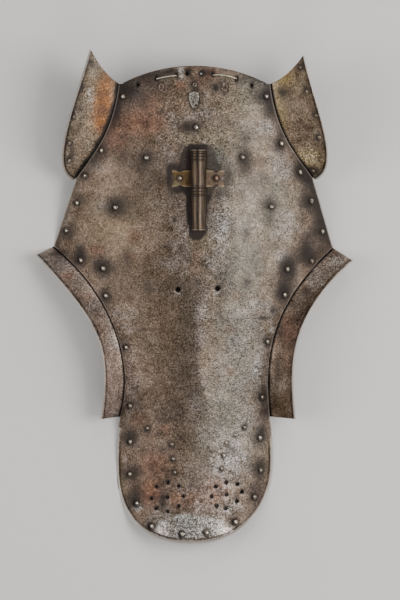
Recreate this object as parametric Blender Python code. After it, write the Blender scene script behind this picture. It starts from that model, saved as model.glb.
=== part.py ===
"""Shaffron: plate armour for a horse's head, lying on its back edges.

One curved steel plate covers the face from the poll to the nose. Flared guards for the
ears and the eyes are riveted under its cut edges. A brass plume holder, a small shield
and a lacing wire sit on the forehead, and two rosettes of holes let the nostrils breathe.
The length runs along Y with the ears at +Y, and the face of the plate looks up (+Z).
Tables are in millimetres, with x measured outwards from the centre line.
"""

import math

import bmesh
import bpy
from mathutils import Matrix, Vector

MM = 0.001

# Sheet steel, and the air left between pieces that touch on the real armour.
PLATE_THICKNESS = 1.5
GUARD_THICKNESS = 1.3
LAYER_GAP = 0.8
SEAT_GAP = 0.35
CLENCH_GAP = 0.7
UNDER_PLATE = -(PLATE_THICKNESS + LAYER_GAP)
GUARD_STACK = PLATE_THICKNESS + LAYER_GAP + GUARD_THICKNESS

# Height of the crest line above the surface that the armour lies on.
CREST = (
    # y, height
    (-285, 32.5),
    (-262, 33.2),
    (-235, 37.6),
    (-190, 44.4),
    (-110, 54.0),
    (0, 66.5),
    (60, 70.8),
    (150, 74.0),
    (230, 68.5),
    (285, 58.5),
)

# How far the plate wraps round the head: the drop from the crest at a half width.
WRAP_POWER = 2.4
NOSE_WRAP = {"y": -150, "half_width": 92, "drop": 46.6}
BROW_WRAP = {"y": 57, "half_width": 163, "drop": 72.0}

# A low keel down the bridge of the nose.
KEEL = {"height": 2.4, "spread": 16, "round": 4, "top_y": 20, "foot_y": -215, "fade": 70}

# The nose edge is turned outwards in a narrow lip.
LIP = {"width": 4.5, "rise": 2.0, "start_y": -150, "full_y": -225}

# Plan outline. Each cut is a Bezier curve from its upper to its lower end.
TOP_ARC = {"crown_y": 265.7, "radius": 204}
EAR_CUT = ((87, 245), (94, 192), (110, 172), (137, 136))
EYE_CUT = {
    "left": ((163, 59), (88, -1), (69, -85), (86.5, -138)),
    "right": ((160, 57.5), (82.5, -14), (81, -73), (87, -138)),
}
NOSE_SIDE = ((88.5, -148), (90, -160), (90.5, -175), (90.5, -190))
NOSE_END = {"centre_y": -190, "half_width": 90.5, "reach": 93.5}
NOSE_FULLNESS = {"left": 2.5, "right": 2.09}
NOSE_TURN = math.radians(45)
OUTLINE_ROWS = {"ear": 8, "temple": 4, "eye": 14, "nose_side": 3, "nose_corner": 6}
INNER_COLUMNS = 18

# Outer edges of the guards, as Bezier curves in x, y and height.
EAR_RIM = {
    "left": ((120, 284.1, 88), (135.5, 227, 92), (171.5, 148, 66), (140, 135, 20.5)),
    "right": ((126, 277.5, 88), (138, 221, 92), (173, 149, 66), (140, 135, 20.5)),
}
EYE_RIM = {
    "left": ((182.9, 48, 25), (104, -37, 60), (98, -57.5, 62), (108, -140.6, 32)),
    "right": ((182.9, 41.5, 25), (106, -26, 60), (111.5, -80, 62), (116.4, -140.6, 32)),
}
EAR_CUT_END = 0.97
FLANGE_WIDTH = 14
GUARD_STATIONS = {"ear": 16, "eye": 14}
# From the plate's edge up to the lip: share of the way out, share of the rise.
GUARD_FLARE = ((0.12, 0.02), (0.4, 0.26), (0.7, 0.62), (1.0, 1.0))
GUARD_LIP = {"width": 3.2, "drop": 0.3}
EAR_STRAIGHTENS = {"from": 0.6, "to": 1.0}

RIVET_SIDES = 8
RIVET_KINDS = {
    # head radius, head height, shank radius, thickness that the shank passes through
    "lining": (2.9, 1.7, 1.5, PLATE_THICKNESS),
    "guard": (3.0, 1.8, 1.5, GUARD_STACK + 0.7),
    "strap": (2.3, 1.3, 1.2, PLATE_THICKNESS),
    "bracket": (2.6, 1.5, 1.4, PLATE_THICKNESS + SEAT_GAP + 1.5),
    "shield": (1.9, 0.9, 1.1, PLATE_THICKNESS + SEAT_GAP + 1.2),
}
RIVET_FIT = 0.3

PAIRED_RIVETS = (
    # name, kind, place on the left (x, y), place on the right (x, y)
    ("ear_top", "guard", (82.6, 230.5), (82.8, 230.8)),
    ("ear_middle", "guard", (107.0, 168.7), (100.2, 176.5)),
    ("ear_foot", "guard", (126.5, 139.8), (121.8, 143.8)),
    ("temple_upper", "lining", (135.4, 108.3), (135.0, 110.5)),
    ("temple_lower", "lining", (148.0, 76.5), (147.7, 75.3)),
    ("eye_top", "guard", (131.3, 42.1), (135.5, 41.5)),
    ("eye_upper", "guard", (102.0, 1.0), (104.3, 2.0)),
    ("eye_lower", "guard", (79.0, -58.3), (84.5, -51.8)),
    ("eye_foot", "guard", (74.5, -125.5), (78.4, -115.8)),
    ("nose_side", "lining", (74.3, -167.2), (76.0, -162.7)),
    ("nose_flank", "lining", (74.9, -204.6), (76.7, -199.6)),
    ("nose_corner", "lining", (66.6, -238.3), (69.5, -230.9)),
    ("nose_lower", "lining", (49.2, -264.5), (47.4, -259.5)),
    ("nose_end", "lining", (14.1, -273.0), (13.6, -271.4)),
    ("forehead", "lining", (55.4, 160.0), (55.4, 160.8)),
    ("brow", "lining", (91.0, 102.9), (88.4, 103.6)),
    ("cheek", "lining", (105.3, 32.8), (107.2, 32.0)),
    ("strap_1", "strap", (53.9, -151.2), (57.4, -149.8)),
    ("strap_2", "strap", (40.8, -155.4), (46.9, -158.8)),
    ("strap_3", "strap", (26.0, -169.6), (36.7, -167.7)),
    ("strap_4", "strap", (24.4, -186.1), (33.5, -182.2)),
    ("strap_5", "strap", (22.7, -201.6), (31.1, -197.2)),
)
CENTRE_RIVETS = (
    # name, kind, x, y
    ("crown", "lining", 1.7, 194.8),
    ("poll", "strap", 0.4, 243.6),
    ("shield", "shield", -0.9, 228.0),
    ("bracket_left", "bracket", -16.9, 136.2),
    ("bracket_right", "bracket", 24.6, 136.2),
)

# Holes with nothing in them.
ROSETTES = (
    # each was laid out by eye: its holes' radius, its middle hole, then the ring about it
    {
        "hole": 1.5,
        "middle": (-31.1, -230.5),
        "ring": ((18.4, 1.5), (13, 13.2), (0.4, 16.8), (-12.8, 12), (-18.5, -1.6), (-12.7, -12.9), (0.4, -16.8), (13, -10.7)),
    },
    {
        "hole": 1.75,
        "middle": (36.8, -227.6),
        "ring": ((18.1, 3), (12.5, 11.9), (0, 13.9), (-12.2, 9.3), (-17.1, -2), (-11.3, -13), (-0.6, -16), (11.9, -7.7)),
    },
)
OPEN_HOLES = (
    # x, y, radius
    (-18.9, 8.5, 2.1),
    (26.7, 9.7, 2.1),
    (-65.0, 244.0, 1.5),
    (66.0, 243.0, 1.5),
    (-8.2, 256.6, 1.3),
    (7.6, 256.6, 1.3),
)
HOLE_SIDES = 8

# The lacing wire shows as two runs between its four holes.
WIRE_HOLES = ((-43.7, 250.4), (-20.9, 254.2), (21.3, 255.0), (48.2, 250.8))
WIRE_HOLE_RADIUS = 1.7
WIRE = {"radius": 0.7, "over": 1.25, "behind": -3.0, "bend": 1.6, "tail": 7}

# Plume holder: a tapered brass tube soldered on a strap with swallow-tail ends.
TUBE = {"x": 4.9, "top_y": 169.0, "length": 93, "top_radius": 9.3, "foot_radius": 7.2, "wall": 1.2}
TUBE_SIDES = 16
TUBE_AXIS_LIFT = 11.4
TUBE_RINGS = (
    # distance of the ring from the mouth, width, how far it stands out
    (0.0, 2.2, 0.7),
    (3.3, 1.3, 0.4),
    (5.5, 1.3, 0.4),
    (7.7, 1.3, 0.4),
    (9.9, 1.3, 0.4),
    (12.1, 1.3, 0.4),
    (44.7, 1.3, 0.4),
    (47.1, 1.6, 0.55),
    (49.8, 1.3, 0.4),
    (52.1, 1.3, 0.4),
    (90.6, 2.4, 0.5),
)
BRACKET_THICKNESS = 1.5
BRACKET_Y = 135.8
BRACKET = (
    # x, half height: waisted at the rivets
    (-25.4, 9.4),
    (-21.5, 8.4),
    (-16.9, 8.3),
    (-8.0, 9.4),
    (4.9, 9.4),
    (16.0, 9.4),
    (24.6, 7.8),
    (30.0, 8.3),
    (33.8, 9.4),
)
BRACKET_NOTCH = 4.2
SADDLE = {"half_width": 5.5, "half_length": 8.6, "height": 4.2}

SHIELD = {"x": -0.9, "y": 226.2, "thickness": 1.2}
SHIELD_OUTLINE = (
    (-6.2, 7.4), (-3.4, 8.8), (0.8, 9.9), (6, 8.4), (6.2, 3.4), (5.2, -4.6), (3.2, -9.2), (-1.4, -9.8), (-4.4, -3), (-5.9, 2.6),
)
SHIELD_HOLE = {"x": 3.0, "y": -6.6, "radius": 0.9}

REST_TRIM = 15  # depth of the block that flattens the lowest edges

FINISHES = {
    # colour, metallic, roughness
    "steel": ((0.30, 0.27, 0.24), 0.9, 0.48),
    "rivet_steel": ((0.46, 0.43, 0.39), 0.9, 0.38),
    "brass": ((0.34, 0.26, 0.13), 0.9, 0.42),
    "wire_steel": ((0.62, 0.58, 0.50), 0.9, 0.40),
}


def clear_scene():
    for obj in list(bpy.data.objects):
        bpy.data.objects.remove(obj)


def finish(name):
    """The Principled material of that finish, made once."""
    if name in bpy.data.materials:
        return bpy.data.materials[name]
    colour, metallic, roughness = FINISHES[name]
    material = bpy.data.materials.new(name)
    material.use_nodes = True
    shader = material.node_tree.nodes["Principled BSDF"]
    shader.inputs["Base Color"].default_value = (*colour, 1)
    shader.inputs["Metallic"].default_value = metallic
    shader.inputs["Roughness"].default_value = roughness
    return material


def smooth_step(value, start, end):
    t = min(1, max(0, (value - start) / (end - start)))
    return t * t * (3 - 2 * t)


def mix(a, b, t):
    return a + (b - a) * t


def crest_height(y):
    """Smooth curve through the crest table."""
    rows = CREST
    i = max(0, min(len(rows) - 2, sum(1 for row in rows if row[0] <= y) - 1))
    (y0, h0), (y1, h1) = rows[i], rows[i + 1]
    before, after = rows[max(0, i - 1)], rows[min(len(rows) - 1, i + 2)]
    slope0 = (h1 - before[1]) / (y1 - before[0])
    slope1 = (after[1] - h0) / (after[0] - y0)
    span, t = y1 - y0, (y - y0) / (y1 - y0)
    return (
        (2 * t**3 - 3 * t**2 + 1) * h0
        + (t**3 - 2 * t**2 + t) * span * slope0
        + (3 * t**2 - 2 * t**3) * h1
        + (t**3 - t**2) * span * slope1
    )


def keel_height(x, y):
    fade = smooth_step(y, KEEL["foot_y"], KEEL["foot_y"] + KEEL["fade"])
    fade *= 1 - smooth_step(y, KEEL["top_y"] - KEEL["fade"], KEEL["top_y"])
    away = math.hypot(x, KEEL["round"]) - KEEL["round"]
    return KEEL["height"] * fade * math.exp(-away / KEEL["spread"])


def surface(x, y):
    """Point of the plate's outer face over (x, y), in millimetres."""
    brow = smooth_step(y, NOSE_WRAP["y"], BROW_WRAP["y"])
    half_width = mix(NOSE_WRAP["half_width"], BROW_WRAP["half_width"], brow)
    drop = mix(NOSE_WRAP["drop"], BROW_WRAP["drop"], brow)
    wrap = drop * (abs(x) / half_width) ** WRAP_POWER
    return Vector((x, y, crest_height(y) - wrap + keel_height(x, y)))


def surface_normal(x, y):
    step = 0.5
    along_x = surface(x + step, y) - surface(x - step, y)
    along_y = surface(x, y + step) - surface(x, y - step)
    return along_x.cross(along_y).normalized()


def off_surface(x, y, lift):
    """Point at a distance from the plate's outer face, negative for inside."""
    return surface(x, y) + surface_normal(x, y) * lift


def surface_frame(x, y, lift=0):
    """Matrix in metres whose Z axis is the plate's normal and whose Y axis runs up the face."""
    z = surface_normal(x, y)
    y_axis = (Vector((0, 1, 0)) - z * z.y).normalized()
    turn = Matrix((y_axis.cross(z), y_axis, z)).transposed().to_4x4()
    return Matrix.Translation(off_surface(x, y, lift) * MM) @ turn


def bezier(points, t):
    """Point on a cubic Bezier curve in two or three dimensions."""
    a, b, c, d = (Vector(p) for p in points)
    s = 1 - t
    return a * s**3 + b * 3 * s * s * t + c * 3 * s * t * t + d * t**3


def outward(points, t):
    """Unit vector in plan that points out of the plate at a cut's edge."""
    along = bezier(points, min(1, t + 0.01)) - bezier(points, max(0, t - 0.01))
    return Vector((-along.y, along.x)).normalized()


def nose_curve(side, angle, inset=0):
    """Plan point on the nose's outline: angle 0 is at its side, a right angle is its end."""
    power = 2 / NOSE_FULLNESS[side]
    return Vector((
        (NOSE_END["half_width"] - inset) * math.cos(angle) ** power,
        NOSE_END["centre_y"] - (NOSE_END["reach"] - inset) * math.sin(angle) ** power,
    ))


def nose_end_y(side, x, inset=0):
    power = NOSE_FULLNESS[side]
    share = min(1, abs(x) / (NOSE_END["half_width"] - inset))
    return NOSE_END["centre_y"] - (NOSE_END["reach"] - inset) * (1 - share**power) ** (1 / power)


def outline_side(side, inset=0):
    """Plan points down one side, from the top corner to the turn of the nose."""
    eye, rows = EYE_CUT[side], OUTLINE_ROWS
    points = [bezier(EAR_CUT, i / rows["ear"]) for i in range(rows["ear"])]
    temple_top, temple_foot = Vector(EAR_CUT[3]), Vector(eye[0])
    points += [temple_top.lerp(temple_foot, i / rows["temple"]) for i in range(rows["temple"])]
    points += [bezier(eye, i / rows["eye"]) for i in range(rows["eye"])]
    points += [Vector(eye[3])]
    points += [bezier(NOSE_SIDE, i / rows["nose_side"]) for i in range(rows["nose_side"])]
    points = [point - Vector((inset, 0)) for point in points]
    shares = [i / rows["nose_corner"] for i in range(rows["nose_corner"] + 1)]
    # The outer outline stops short of the turn, which has a corner point of its own.
    reach = NOSE_TURN if inset else NOSE_TURN * 0.94
    points += [nose_curve(side, share * reach, inset) for share in shares]
    return points


def top_bulge(x):
    """How far the top edge stands above its corners."""
    corner_x, corner_y = EAR_CUT[0]
    arc_y = TOP_ARC["crown_y"] - TOP_ARC["radius"] + math.sqrt(TOP_ARC["radius"] ** 2 - x * x)
    return arc_y - corner_y if abs(x) < corner_x else 0


def plate_rows():
    """Rows of points on the plate's outer face, with the lip as their outermost band."""
    width = LIP["width"]
    outer = {side: outline_side(side) for side in ("left", "right")}
    inner = {side: outline_side(side, width) for side in ("left", "right")}
    top_y, turn = inner["left"][0].y, {side: inner[side][-1] for side in inner}
    nose_y = NOSE_SIDE[0][1]
    plan = []
    for i, (left, right) in enumerate(zip(inner["left"], inner["right"])):
        row = [Vector((-outer["left"][i].x, outer["left"][i].y))]
        for j in range(INNER_COLUMNS + 1):
            share = j / INNER_COLUMNS
            x, side_y = mix(-left.x, right.x, share), mix(left.y, right.y, share)
            side = "left" if x < 0 else "right"
            half_width = left.x if x < 0 else right.x
            top_x = x / half_width * EAR_CUT[0][0]
            end_x = x / half_width * turn[side].x
            turn_y = mix(turn["left"].y, turn["right"].y, share)
            top_share = max(0, 1 - (top_y - side_y) / 110) ** 2
            nose_share = max(0, (nose_y - side_y) / (nose_y - turn_y)) ** 2
            y = side_y + top_share * top_bulge(top_x)
            y += nose_share * (nose_end_y(side, end_x, width) - turn_y)
            row.append(Vector((x, y)))
        row.append(outer["right"][i])
        plan.append(row)
    # The last row is the nose's outer edge, between the two turns.
    corner = {side: nose_curve(side, NOSE_TURN) for side in ("left", "right")}
    spread = nose_curve("right", NOSE_TURN * 1.06).x / turn["right"].x
    last = [Vector((-corner["left"].x, corner["left"].y))]
    for point in plan[-1][1:-1]:
        side = "left" if point.x < 0 else "right"
        last.append(Vector((point.x * spread, nose_end_y(side, point.x * spread))))
    plan.append([*last, corner["right"]])
    rows = []
    for i, row in enumerate(plan):
        points = [surface(point.x, point.y) for point in row]
        edge = range(len(row)) if i == len(plan) - 1 else (0, len(row) - 1)
        for j in edge:
            points[j].z += LIP["rise"] * smooth_step(-points[j].y, -LIP["start_y"], -LIP["full_y"])
        rows.append(points)
    return rows


def link(name, mesh, material):
    obj = bpy.data.objects.new(name, mesh)
    bpy.context.scene.collection.objects.link(obj)
    obj.data.materials.append(finish(material))
    return obj


def sheet_object(name, rows, material, thickness):
    """A sheet through rows of points, with its thickness below them."""
    columns = len(rows[0])
    points = [point * MM for row in rows for point in row]
    faces = [
        (i * columns + j, i * columns + j + 1, (i + 1) * columns + j + 1, (i + 1) * columns + j)
        for i in range(len(rows) - 1)
        for j in range(columns - 1)
    ]
    mesh = bpy.data.meshes.new(name)
    mesh.from_pydata(points, [], faces)
    if sum(polygon.normal.z for polygon in mesh.polygons) < 0:
        mesh.flip_normals()
    obj = link(name, mesh, material)
    solidify = obj.modifiers.new("Thickness", "SOLIDIFY")
    solidify.thickness = thickness * MM
    solidify.offset = -1
    solidify.use_even_offset = True
    return obj


def lathe_mesh(name, profile, sides, start=0):
    """A closed turned shape about Z from (radius, height) points that start and end on the axis."""
    shape = bmesh.new()
    rings = []
    for radius, height in profile:
        if radius == 0:
            rings.append([shape.verts.new((0, 0, height * MM))])
            continue
        angles = [start + math.tau * i / sides for i in range(sides)]
        rings.append([
            shape.verts.new((radius * math.cos(a) * MM, radius * math.sin(a) * MM, height * MM))
            for a in angles
        ])
    for upper, lower in zip(rings, rings[1:]):
        for i in range(sides):
            j = (i + 1) % sides
            corners = [upper[i % len(upper)], lower[i % len(lower)], lower[j % len(lower)], upper[j % len(upper)]]
            shape.faces.new(list(dict.fromkeys(corners)))
    bmesh.ops.recalc_face_normals(shape, faces=shape.faces)
    mesh = bpy.data.meshes.new(name)
    shape.to_mesh(mesh)
    shape.free()
    return mesh


def helper(name, mesh):
    """A cutting tool, which isn't part of the armour."""
    obj = bpy.data.objects.new(name, mesh)
    bpy.context.scene.collection.objects.link(obj)
    obj.hide_render = True
    obj.display_type = "WIRE"
    return obj


def drill(name, holes, reach):
    """Cutters for round holes square to the plate: each hole is (x, y, radius)."""
    joined = bmesh.new()
    for x, y, radius in holes:
        profile = ((0, reach), (radius, reach), (radius, -reach), (0, -reach))
        pin = lathe_mesh("pin", profile, HOLE_SIDES, math.pi / HOLE_SIDES)
        pin.transform(surface_frame(x, y))
        joined.from_mesh(pin)
        bpy.data.meshes.remove(pin)
    mesh = bpy.data.meshes.new(name)
    joined.to_mesh(mesh)
    joined.free()
    return helper(name, mesh)


def block(name, low, high):
    shape = bmesh.new()
    bmesh.ops.create_cube(shape, size=1)
    mesh = bpy.data.meshes.new(name)
    size = Vector(high) - Vector(low)
    bmesh.ops.scale(shape, vec=size * MM, verts=shape.verts)
    bmesh.ops.translate(shape, vec=(Vector(low) + size / 2) * MM, verts=shape.verts)
    shape.to_mesh(mesh)
    shape.free()
    return helper(name, mesh)


def boolean(obj, operation, other):
    modifier = obj.modifiers.new(other.name, "BOOLEAN")
    modifier.operation = operation
    modifier.solver = "EXACT"
    modifier.object = other


def rivet_places():
    """Every rivet as (name, kind, x, y)."""
    places = []
    for name, kind, left, right in PAIRED_RIVETS:
        places.append((f"rivet_{name}_left", kind, -left[0], left[1]))
        places.append((f"rivet_{name}_right", kind, right[0], right[1]))
    return places + [(f"rivet_{name}", kind, x, y) for name, kind, x, y in CENTRE_RIVETS]


def rivet_holes():
    return [(x, y, RIVET_KINDS[kind][2] + RIVET_FIT) for _, kind, x, y in rivet_places()]


def plain_holes():
    holes = list(OPEN_HOLES)
    holes += [(x, y, WIRE_HOLE_RADIUS) for x, y in WIRE_HOLES]
    for rosette in ROSETTES:
        middle_x, middle_y = rosette["middle"]
        for x, y in ((0, 0), *rosette["ring"]):
            holes.append((middle_x + x, middle_y + y, rosette["hole"]))
    return holes


def build_main_plate(rivet_drill, hole_drill, trim):
    plate = sheet_object("main_plate", plate_rows(), "steel", PLATE_THICKNESS)
    boolean(plate, "DIFFERENCE", rivet_drill)
    boolean(plate, "DIFFERENCE", hole_drill)
    boolean(plate, "DIFFERENCE", trim)


def guard_rows(stations, cut, cut_end, rim, side_sign, closes):
    """Rows across a guard: a flange under the plate's edge, the flare, then the turned lip."""
    rows = []
    for i in range(stations + 1):
        share = i / stations
        t = share * cut_end
        edge, out = bezier(cut, t), outward(cut, t)
        row = []
        for inset in (FLANGE_WIDTH, FLANGE_WIDTH / 2, 0):
            place = edge - out * inset
            row.append(off_surface(place.x, place.y, UNDER_PLATE))
        foot, lip = row[-1], bezier(rim, share)
        reach = (lip - foot).xy.length
        lip_top = foot.lerp(lip, max(0.5, 1 - GUARD_LIP["width"] / reach))
        lip_top.z = lip.z + GUARD_LIP["drop"]
        straight = 0
        if closes:
            straight = smooth_step(share, EAR_STRAIGHTENS["from"], EAR_STRAIGHTENS["to"])
        for width_share, rise_share in GUARD_FLARE:
            point = foot.lerp(lip_top, width_share)
            point.z = mix(foot.z, lip_top.z, mix(rise_share, width_share, straight))
            row.append(point)
        row.append(lip)
        rows.append([Vector((point.x * side_sign, point.y, point.z)) for point in row])
    return rows


def build_guards(rivet_drill, trim):
    for side, sign in (("left", -1), ("right", 1)):
        rows = guard_rows(GUARD_STATIONS["ear"], EAR_CUT, EAR_CUT_END, EAR_RIM[side], sign, True)
        ear = sheet_object(f"ear_guard_{side}", rows, "steel", GUARD_THICKNESS)
        boolean(ear, "DIFFERENCE", rivet_drill)
        rows = guard_rows(GUARD_STATIONS["eye"], EYE_CUT[side], 1, EYE_RIM[side], sign, False)
        eye = sheet_object(f"eye_guard_{side}", rows, "steel", GUARD_THICKNESS)
        boolean(eye, "DIFFERENCE", rivet_drill)
        boolean(eye, "DIFFERENCE", trim)


def rivet_mesh(kind):
    head_radius, head_height, shank, through = RIVET_KINDS[kind]
    inside = -through - CLENCH_GAP
    extra = through - PLATE_THICKNESS if kind in ("bracket", "shield") else 0
    profile = (
        (0, SEAT_GAP + head_height),
        (head_radius * 0.68, SEAT_GAP + head_height * 0.72),
        (head_radius, SEAT_GAP),
        (shank, SEAT_GAP),
        (shank, inside),
        (head_radius * 0.85, inside),
        (head_radius * 0.7, inside - 0.9),
        (0, inside - 0.9),
    )
    # A head on the bracket or the shield sits that much higher.
    return lathe_mesh(f"{kind}_rivet", [(r, h + extra) for r, h in profile], RIVET_SIDES)


def build_rivets():
    meshes = {kind: rivet_mesh(kind) for kind in RIVET_KINDS}
    for name, kind, x, y in rivet_places():
        rivet = link(name, meshes[kind], "rivet_steel")
        rivet.matrix_world = surface_frame(x, y)
        rivet.data.shade_smooth()


def tube_profile():
    """Outer radius against the distance from the mouth, with the rings, then back up the bore."""
    length, wall = TUBE["length"], TUBE["wall"]

    def taper(distance):
        return mix(TUBE["top_radius"], TUBE["foot_radius"], distance / length)

    outer = []
    for start, width, stand in TUBE_RINGS:
        end = start + width
        if start > 0:
            outer.append((taper(start), start))
        outer.append((taper(start) + stand, start + (0.3 if start > 0 else 0)))
        last = end >= length
        outer.append((taper(end) + stand, length if last else end - 0.3))
        if not last:
            outer.append((taper(end), end))
    bore = [(taper(length) - wall, length), (taper(0) - wall, 0)]
    return outer + bore


def tube_mesh():
    profile = tube_profile()
    shape = bmesh.new()
    rings = []
    for radius, distance in profile:
        angles = [math.tau * (i + 0.5) / TUBE_SIDES for i in range(TUBE_SIDES)]
        rings.append([
            shape.verts.new((radius * math.cos(a) * MM, -distance * MM, radius * math.sin(a) * MM))
            for a in angles
        ])
    for i, ring in enumerate(rings):
        after = rings[(i + 1) % len(rings)]
        for j in range(TUBE_SIDES):
            k = (j + 1) % TUBE_SIDES
            shape.faces.new((ring[j], after[j], after[k], ring[k]))
    bmesh.ops.recalc_face_normals(shape, faces=shape.faces)
    mesh = bpy.data.meshes.new("plume_holder")
    shape.to_mesh(mesh)
    shape.free()
    return mesh


def bracket_rows():
    """Three rows of points along the strap. Its ends are notched like a swallow's tail."""
    rows = []
    for i, (x, half) in enumerate(BRACKET):
        notch = BRACKET_NOTCH if i == 0 else -BRACKET_NOTCH if i == len(BRACKET) - 1 else 0
        lift = SEAT_GAP + BRACKET_THICKNESS
        rows.append([
            off_surface(x, BRACKET_Y - half, lift),
            off_surface(x + notch, BRACKET_Y, lift),
            off_surface(x, BRACKET_Y + half, lift),
        ])
    return rows


def build_plume_holder(rivet_drill):
    strap = sheet_object("plume_strap", bracket_rows(), "brass", BRACKET_THICKNESS)
    boolean(strap, "DIFFERENCE", rivet_drill)
    base = surface(TUBE["x"], BRACKET_Y)
    saddle = block(
        "plume_saddle",
        (base.x - SADDLE["half_width"], base.y - SADDLE["half_length"], base.z + SEAT_GAP + 0.6),
        (base.x + SADDLE["half_width"], base.y + SADDLE["half_length"], base.z + SADDLE["height"]),
    )
    bore = helper("plume_bore", tube_bore_mesh())
    tube = link("plume_holder", tube_mesh(), "brass")
    place = Matrix.Translation(Vector((TUBE["x"], TUBE["top_y"], base.z + TUBE_AXIS_LIFT)) * MM)
    tube.matrix_world = place
    bore.matrix_world = place
    strap.hide_render = True
    strap.display_type = "WIRE"
    boolean(tube, "UNION", saddle)
    boolean(tube, "UNION", strap)
    boolean(tube, "DIFFERENCE", bore)


def tube_bore_mesh():
    """The bore again, so that the saddle's solder doesn't fill it."""
    over = 2
    shape = bmesh.new()
    ends = []
    for distance in (-over, TUBE["length"] + over):
        radius = mix(TUBE["top_radius"], TUBE["foot_radius"], distance / TUBE["length"]) - TUBE["wall"] - 0.02
        angles = [math.tau * (i + 0.5) / TUBE_SIDES for i in range(TUBE_SIDES)]
        ends.append([
            shape.verts.new((radius * math.cos(a) * MM, -distance * MM, radius * math.sin(a) * MM))
            for a in angles
        ])
    for j in range(TUBE_SIDES):
        k = (j + 1) % TUBE_SIDES
        shape.faces.new((ends[0][j], ends[1][j], ends[1][k], ends[0][k]))
    shape.faces.new(ends[0])
    shape.faces.new(ends[1])
    bmesh.ops.recalc_face_normals(shape, faces=shape.faces)
    mesh = bpy.data.meshes.new("plume_bore")
    shape.to_mesh(mesh)
    shape.free()
    return mesh


def build_shield():
    shape = bmesh.new()
    thickness = SHIELD["thickness"]
    low = [shape.verts.new((x * MM, y * MM, 0)) for x, y in SHIELD_OUTLINE]
    high = [
        shape.verts.new((x * 0.9 * MM, y * 0.93 * MM, thickness * MM)) for x, y in SHIELD_OUTLINE
    ]
    shape.faces.new(low)
    shape.faces.new(high)
    count = len(low)
    for i in range(count):
        j = (i + 1) % count
        shape.faces.new((low[i], low[j], high[j], high[i]))
    bmesh.ops.recalc_face_normals(shape, faces=shape.faces)
    mesh = bpy.data.meshes.new("shield")
    shape.to_mesh(mesh)
    shape.free()
    shield = link("shield", mesh, "rivet_steel")
    shield.matrix_world = surface_frame(SHIELD["x"], SHIELD["y"], SEAT_GAP)
    rivet = next(row for row in CENTRE_RIVETS if row[0] == "shield")
    holes = [
        (rivet[2], rivet[3], RIVET_KINDS["shield"][2] + RIVET_FIT),
        (SHIELD["x"] + SHIELD_HOLE["x"], SHIELD["y"] + SHIELD_HOLE["y"], SHIELD_HOLE["radius"]),
    ]
    boolean(shield, "DIFFERENCE", drill("shield_drill", holes, 8))


def wire_route():
    """The wire's centre line: in and out of its holes, behind the plate between the two runs."""
    bend = WIRE["bend"]
    quarter = [math.pi / 2 * i / 3 for i in range(4)]
    first, last = Vector(WIRE_HOLES[0]), Vector(WIRE_HOLES[-1])
    tail = [first - Vector((WIRE["tail"], 4)), first - Vector((WIRE["tail"] / 2, 1.5))]
    route = [(p.x, p.y, WIRE["behind"] - 0.6) for p in tail]
    for i, hole in enumerate(WIRE_HOLES):
        here = Vector(hole)
        ahead = (Vector(WIRE_HOLES[i + 1]) - here) if i < len(WIRE_HOLES) - 1 else Vector((1, -0.5))
        behind = (here - Vector(WIRE_HOLES[i - 1])) if i else Vector((1, 0.5))
        rising = i % 2 == 0
        low, high = WIRE["behind"], WIRE["over"]
        start, end = (low, high) if rising else (high, low)
        turn = 1 if rising else -1
        for angle in quarter:
            back = here - behind.normalized() * bend * (1 - math.sin(angle))
            route.append((back.x, back.y, start + turn * bend * (1 - math.cos(angle))))
        for angle in quarter:
            on = here + ahead.normalized() * bend * (1 - math.cos(angle))
            route.append((on.x, on.y, end - turn * bend * (1 - math.sin(angle))))
        if i < len(WIRE_HOLES) - 1:
            span = Vector(WIRE_HOLES[i + 1]) - here
            for share in (0.3, 0.5, 0.7):
                on = here + span * share
                route.append((on.x, on.y, end))
    route += [
        (last.x + WIRE["tail"] / 2, last.y - 1.5, WIRE["behind"] - 0.6),
        (last.x + WIRE["tail"], last.y - 4, WIRE["behind"] - 0.6),
    ]
    points = []
    for x, y, lift in route:
        point = off_surface(x, y, lift)
        if not points or (point - points[-1]).length > 0.25:
            points.append(point)
    return points


def build_wire():
    curve = bpy.data.curves.new("lacing_wire", "CURVE")
    curve.dimensions = "3D"
    curve.bevel_depth = WIRE["radius"] * MM
    curve.bevel_resolution = 1
    curve.use_fill_caps = True
    points = wire_route()
    spline = curve.splines.new("POLY")
    spline.points.add(len(points) - 1)
    for knot, point in zip(spline.points, points):
        knot.co = (*(point * MM), 1)
    wire = bpy.data.objects.new("lacing_wire", curve)
    bpy.context.scene.collection.objects.link(wire)
    wire.data.materials.append(finish("wire_steel"))


def main():
    clear_scene()
    rivet_drill = drill("rivet_drill", rivet_holes(), 9)
    hole_drill = drill("hole_drill", plain_holes(), 9)
    trim = block("rest_trim", (-250, -350, -REST_TRIM), (250, 350, 0))
    build_main_plate(rivet_drill, hole_drill, trim)
    build_guards(rivet_drill, trim)
    build_rivets()
    build_plume_holder(rivet_drill)
    build_shield()
    build_wire()


main()
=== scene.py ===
import math
import random

import bpy
import numpy as np
from mathutils import Matrix, Vector, kdtree, noise


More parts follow.
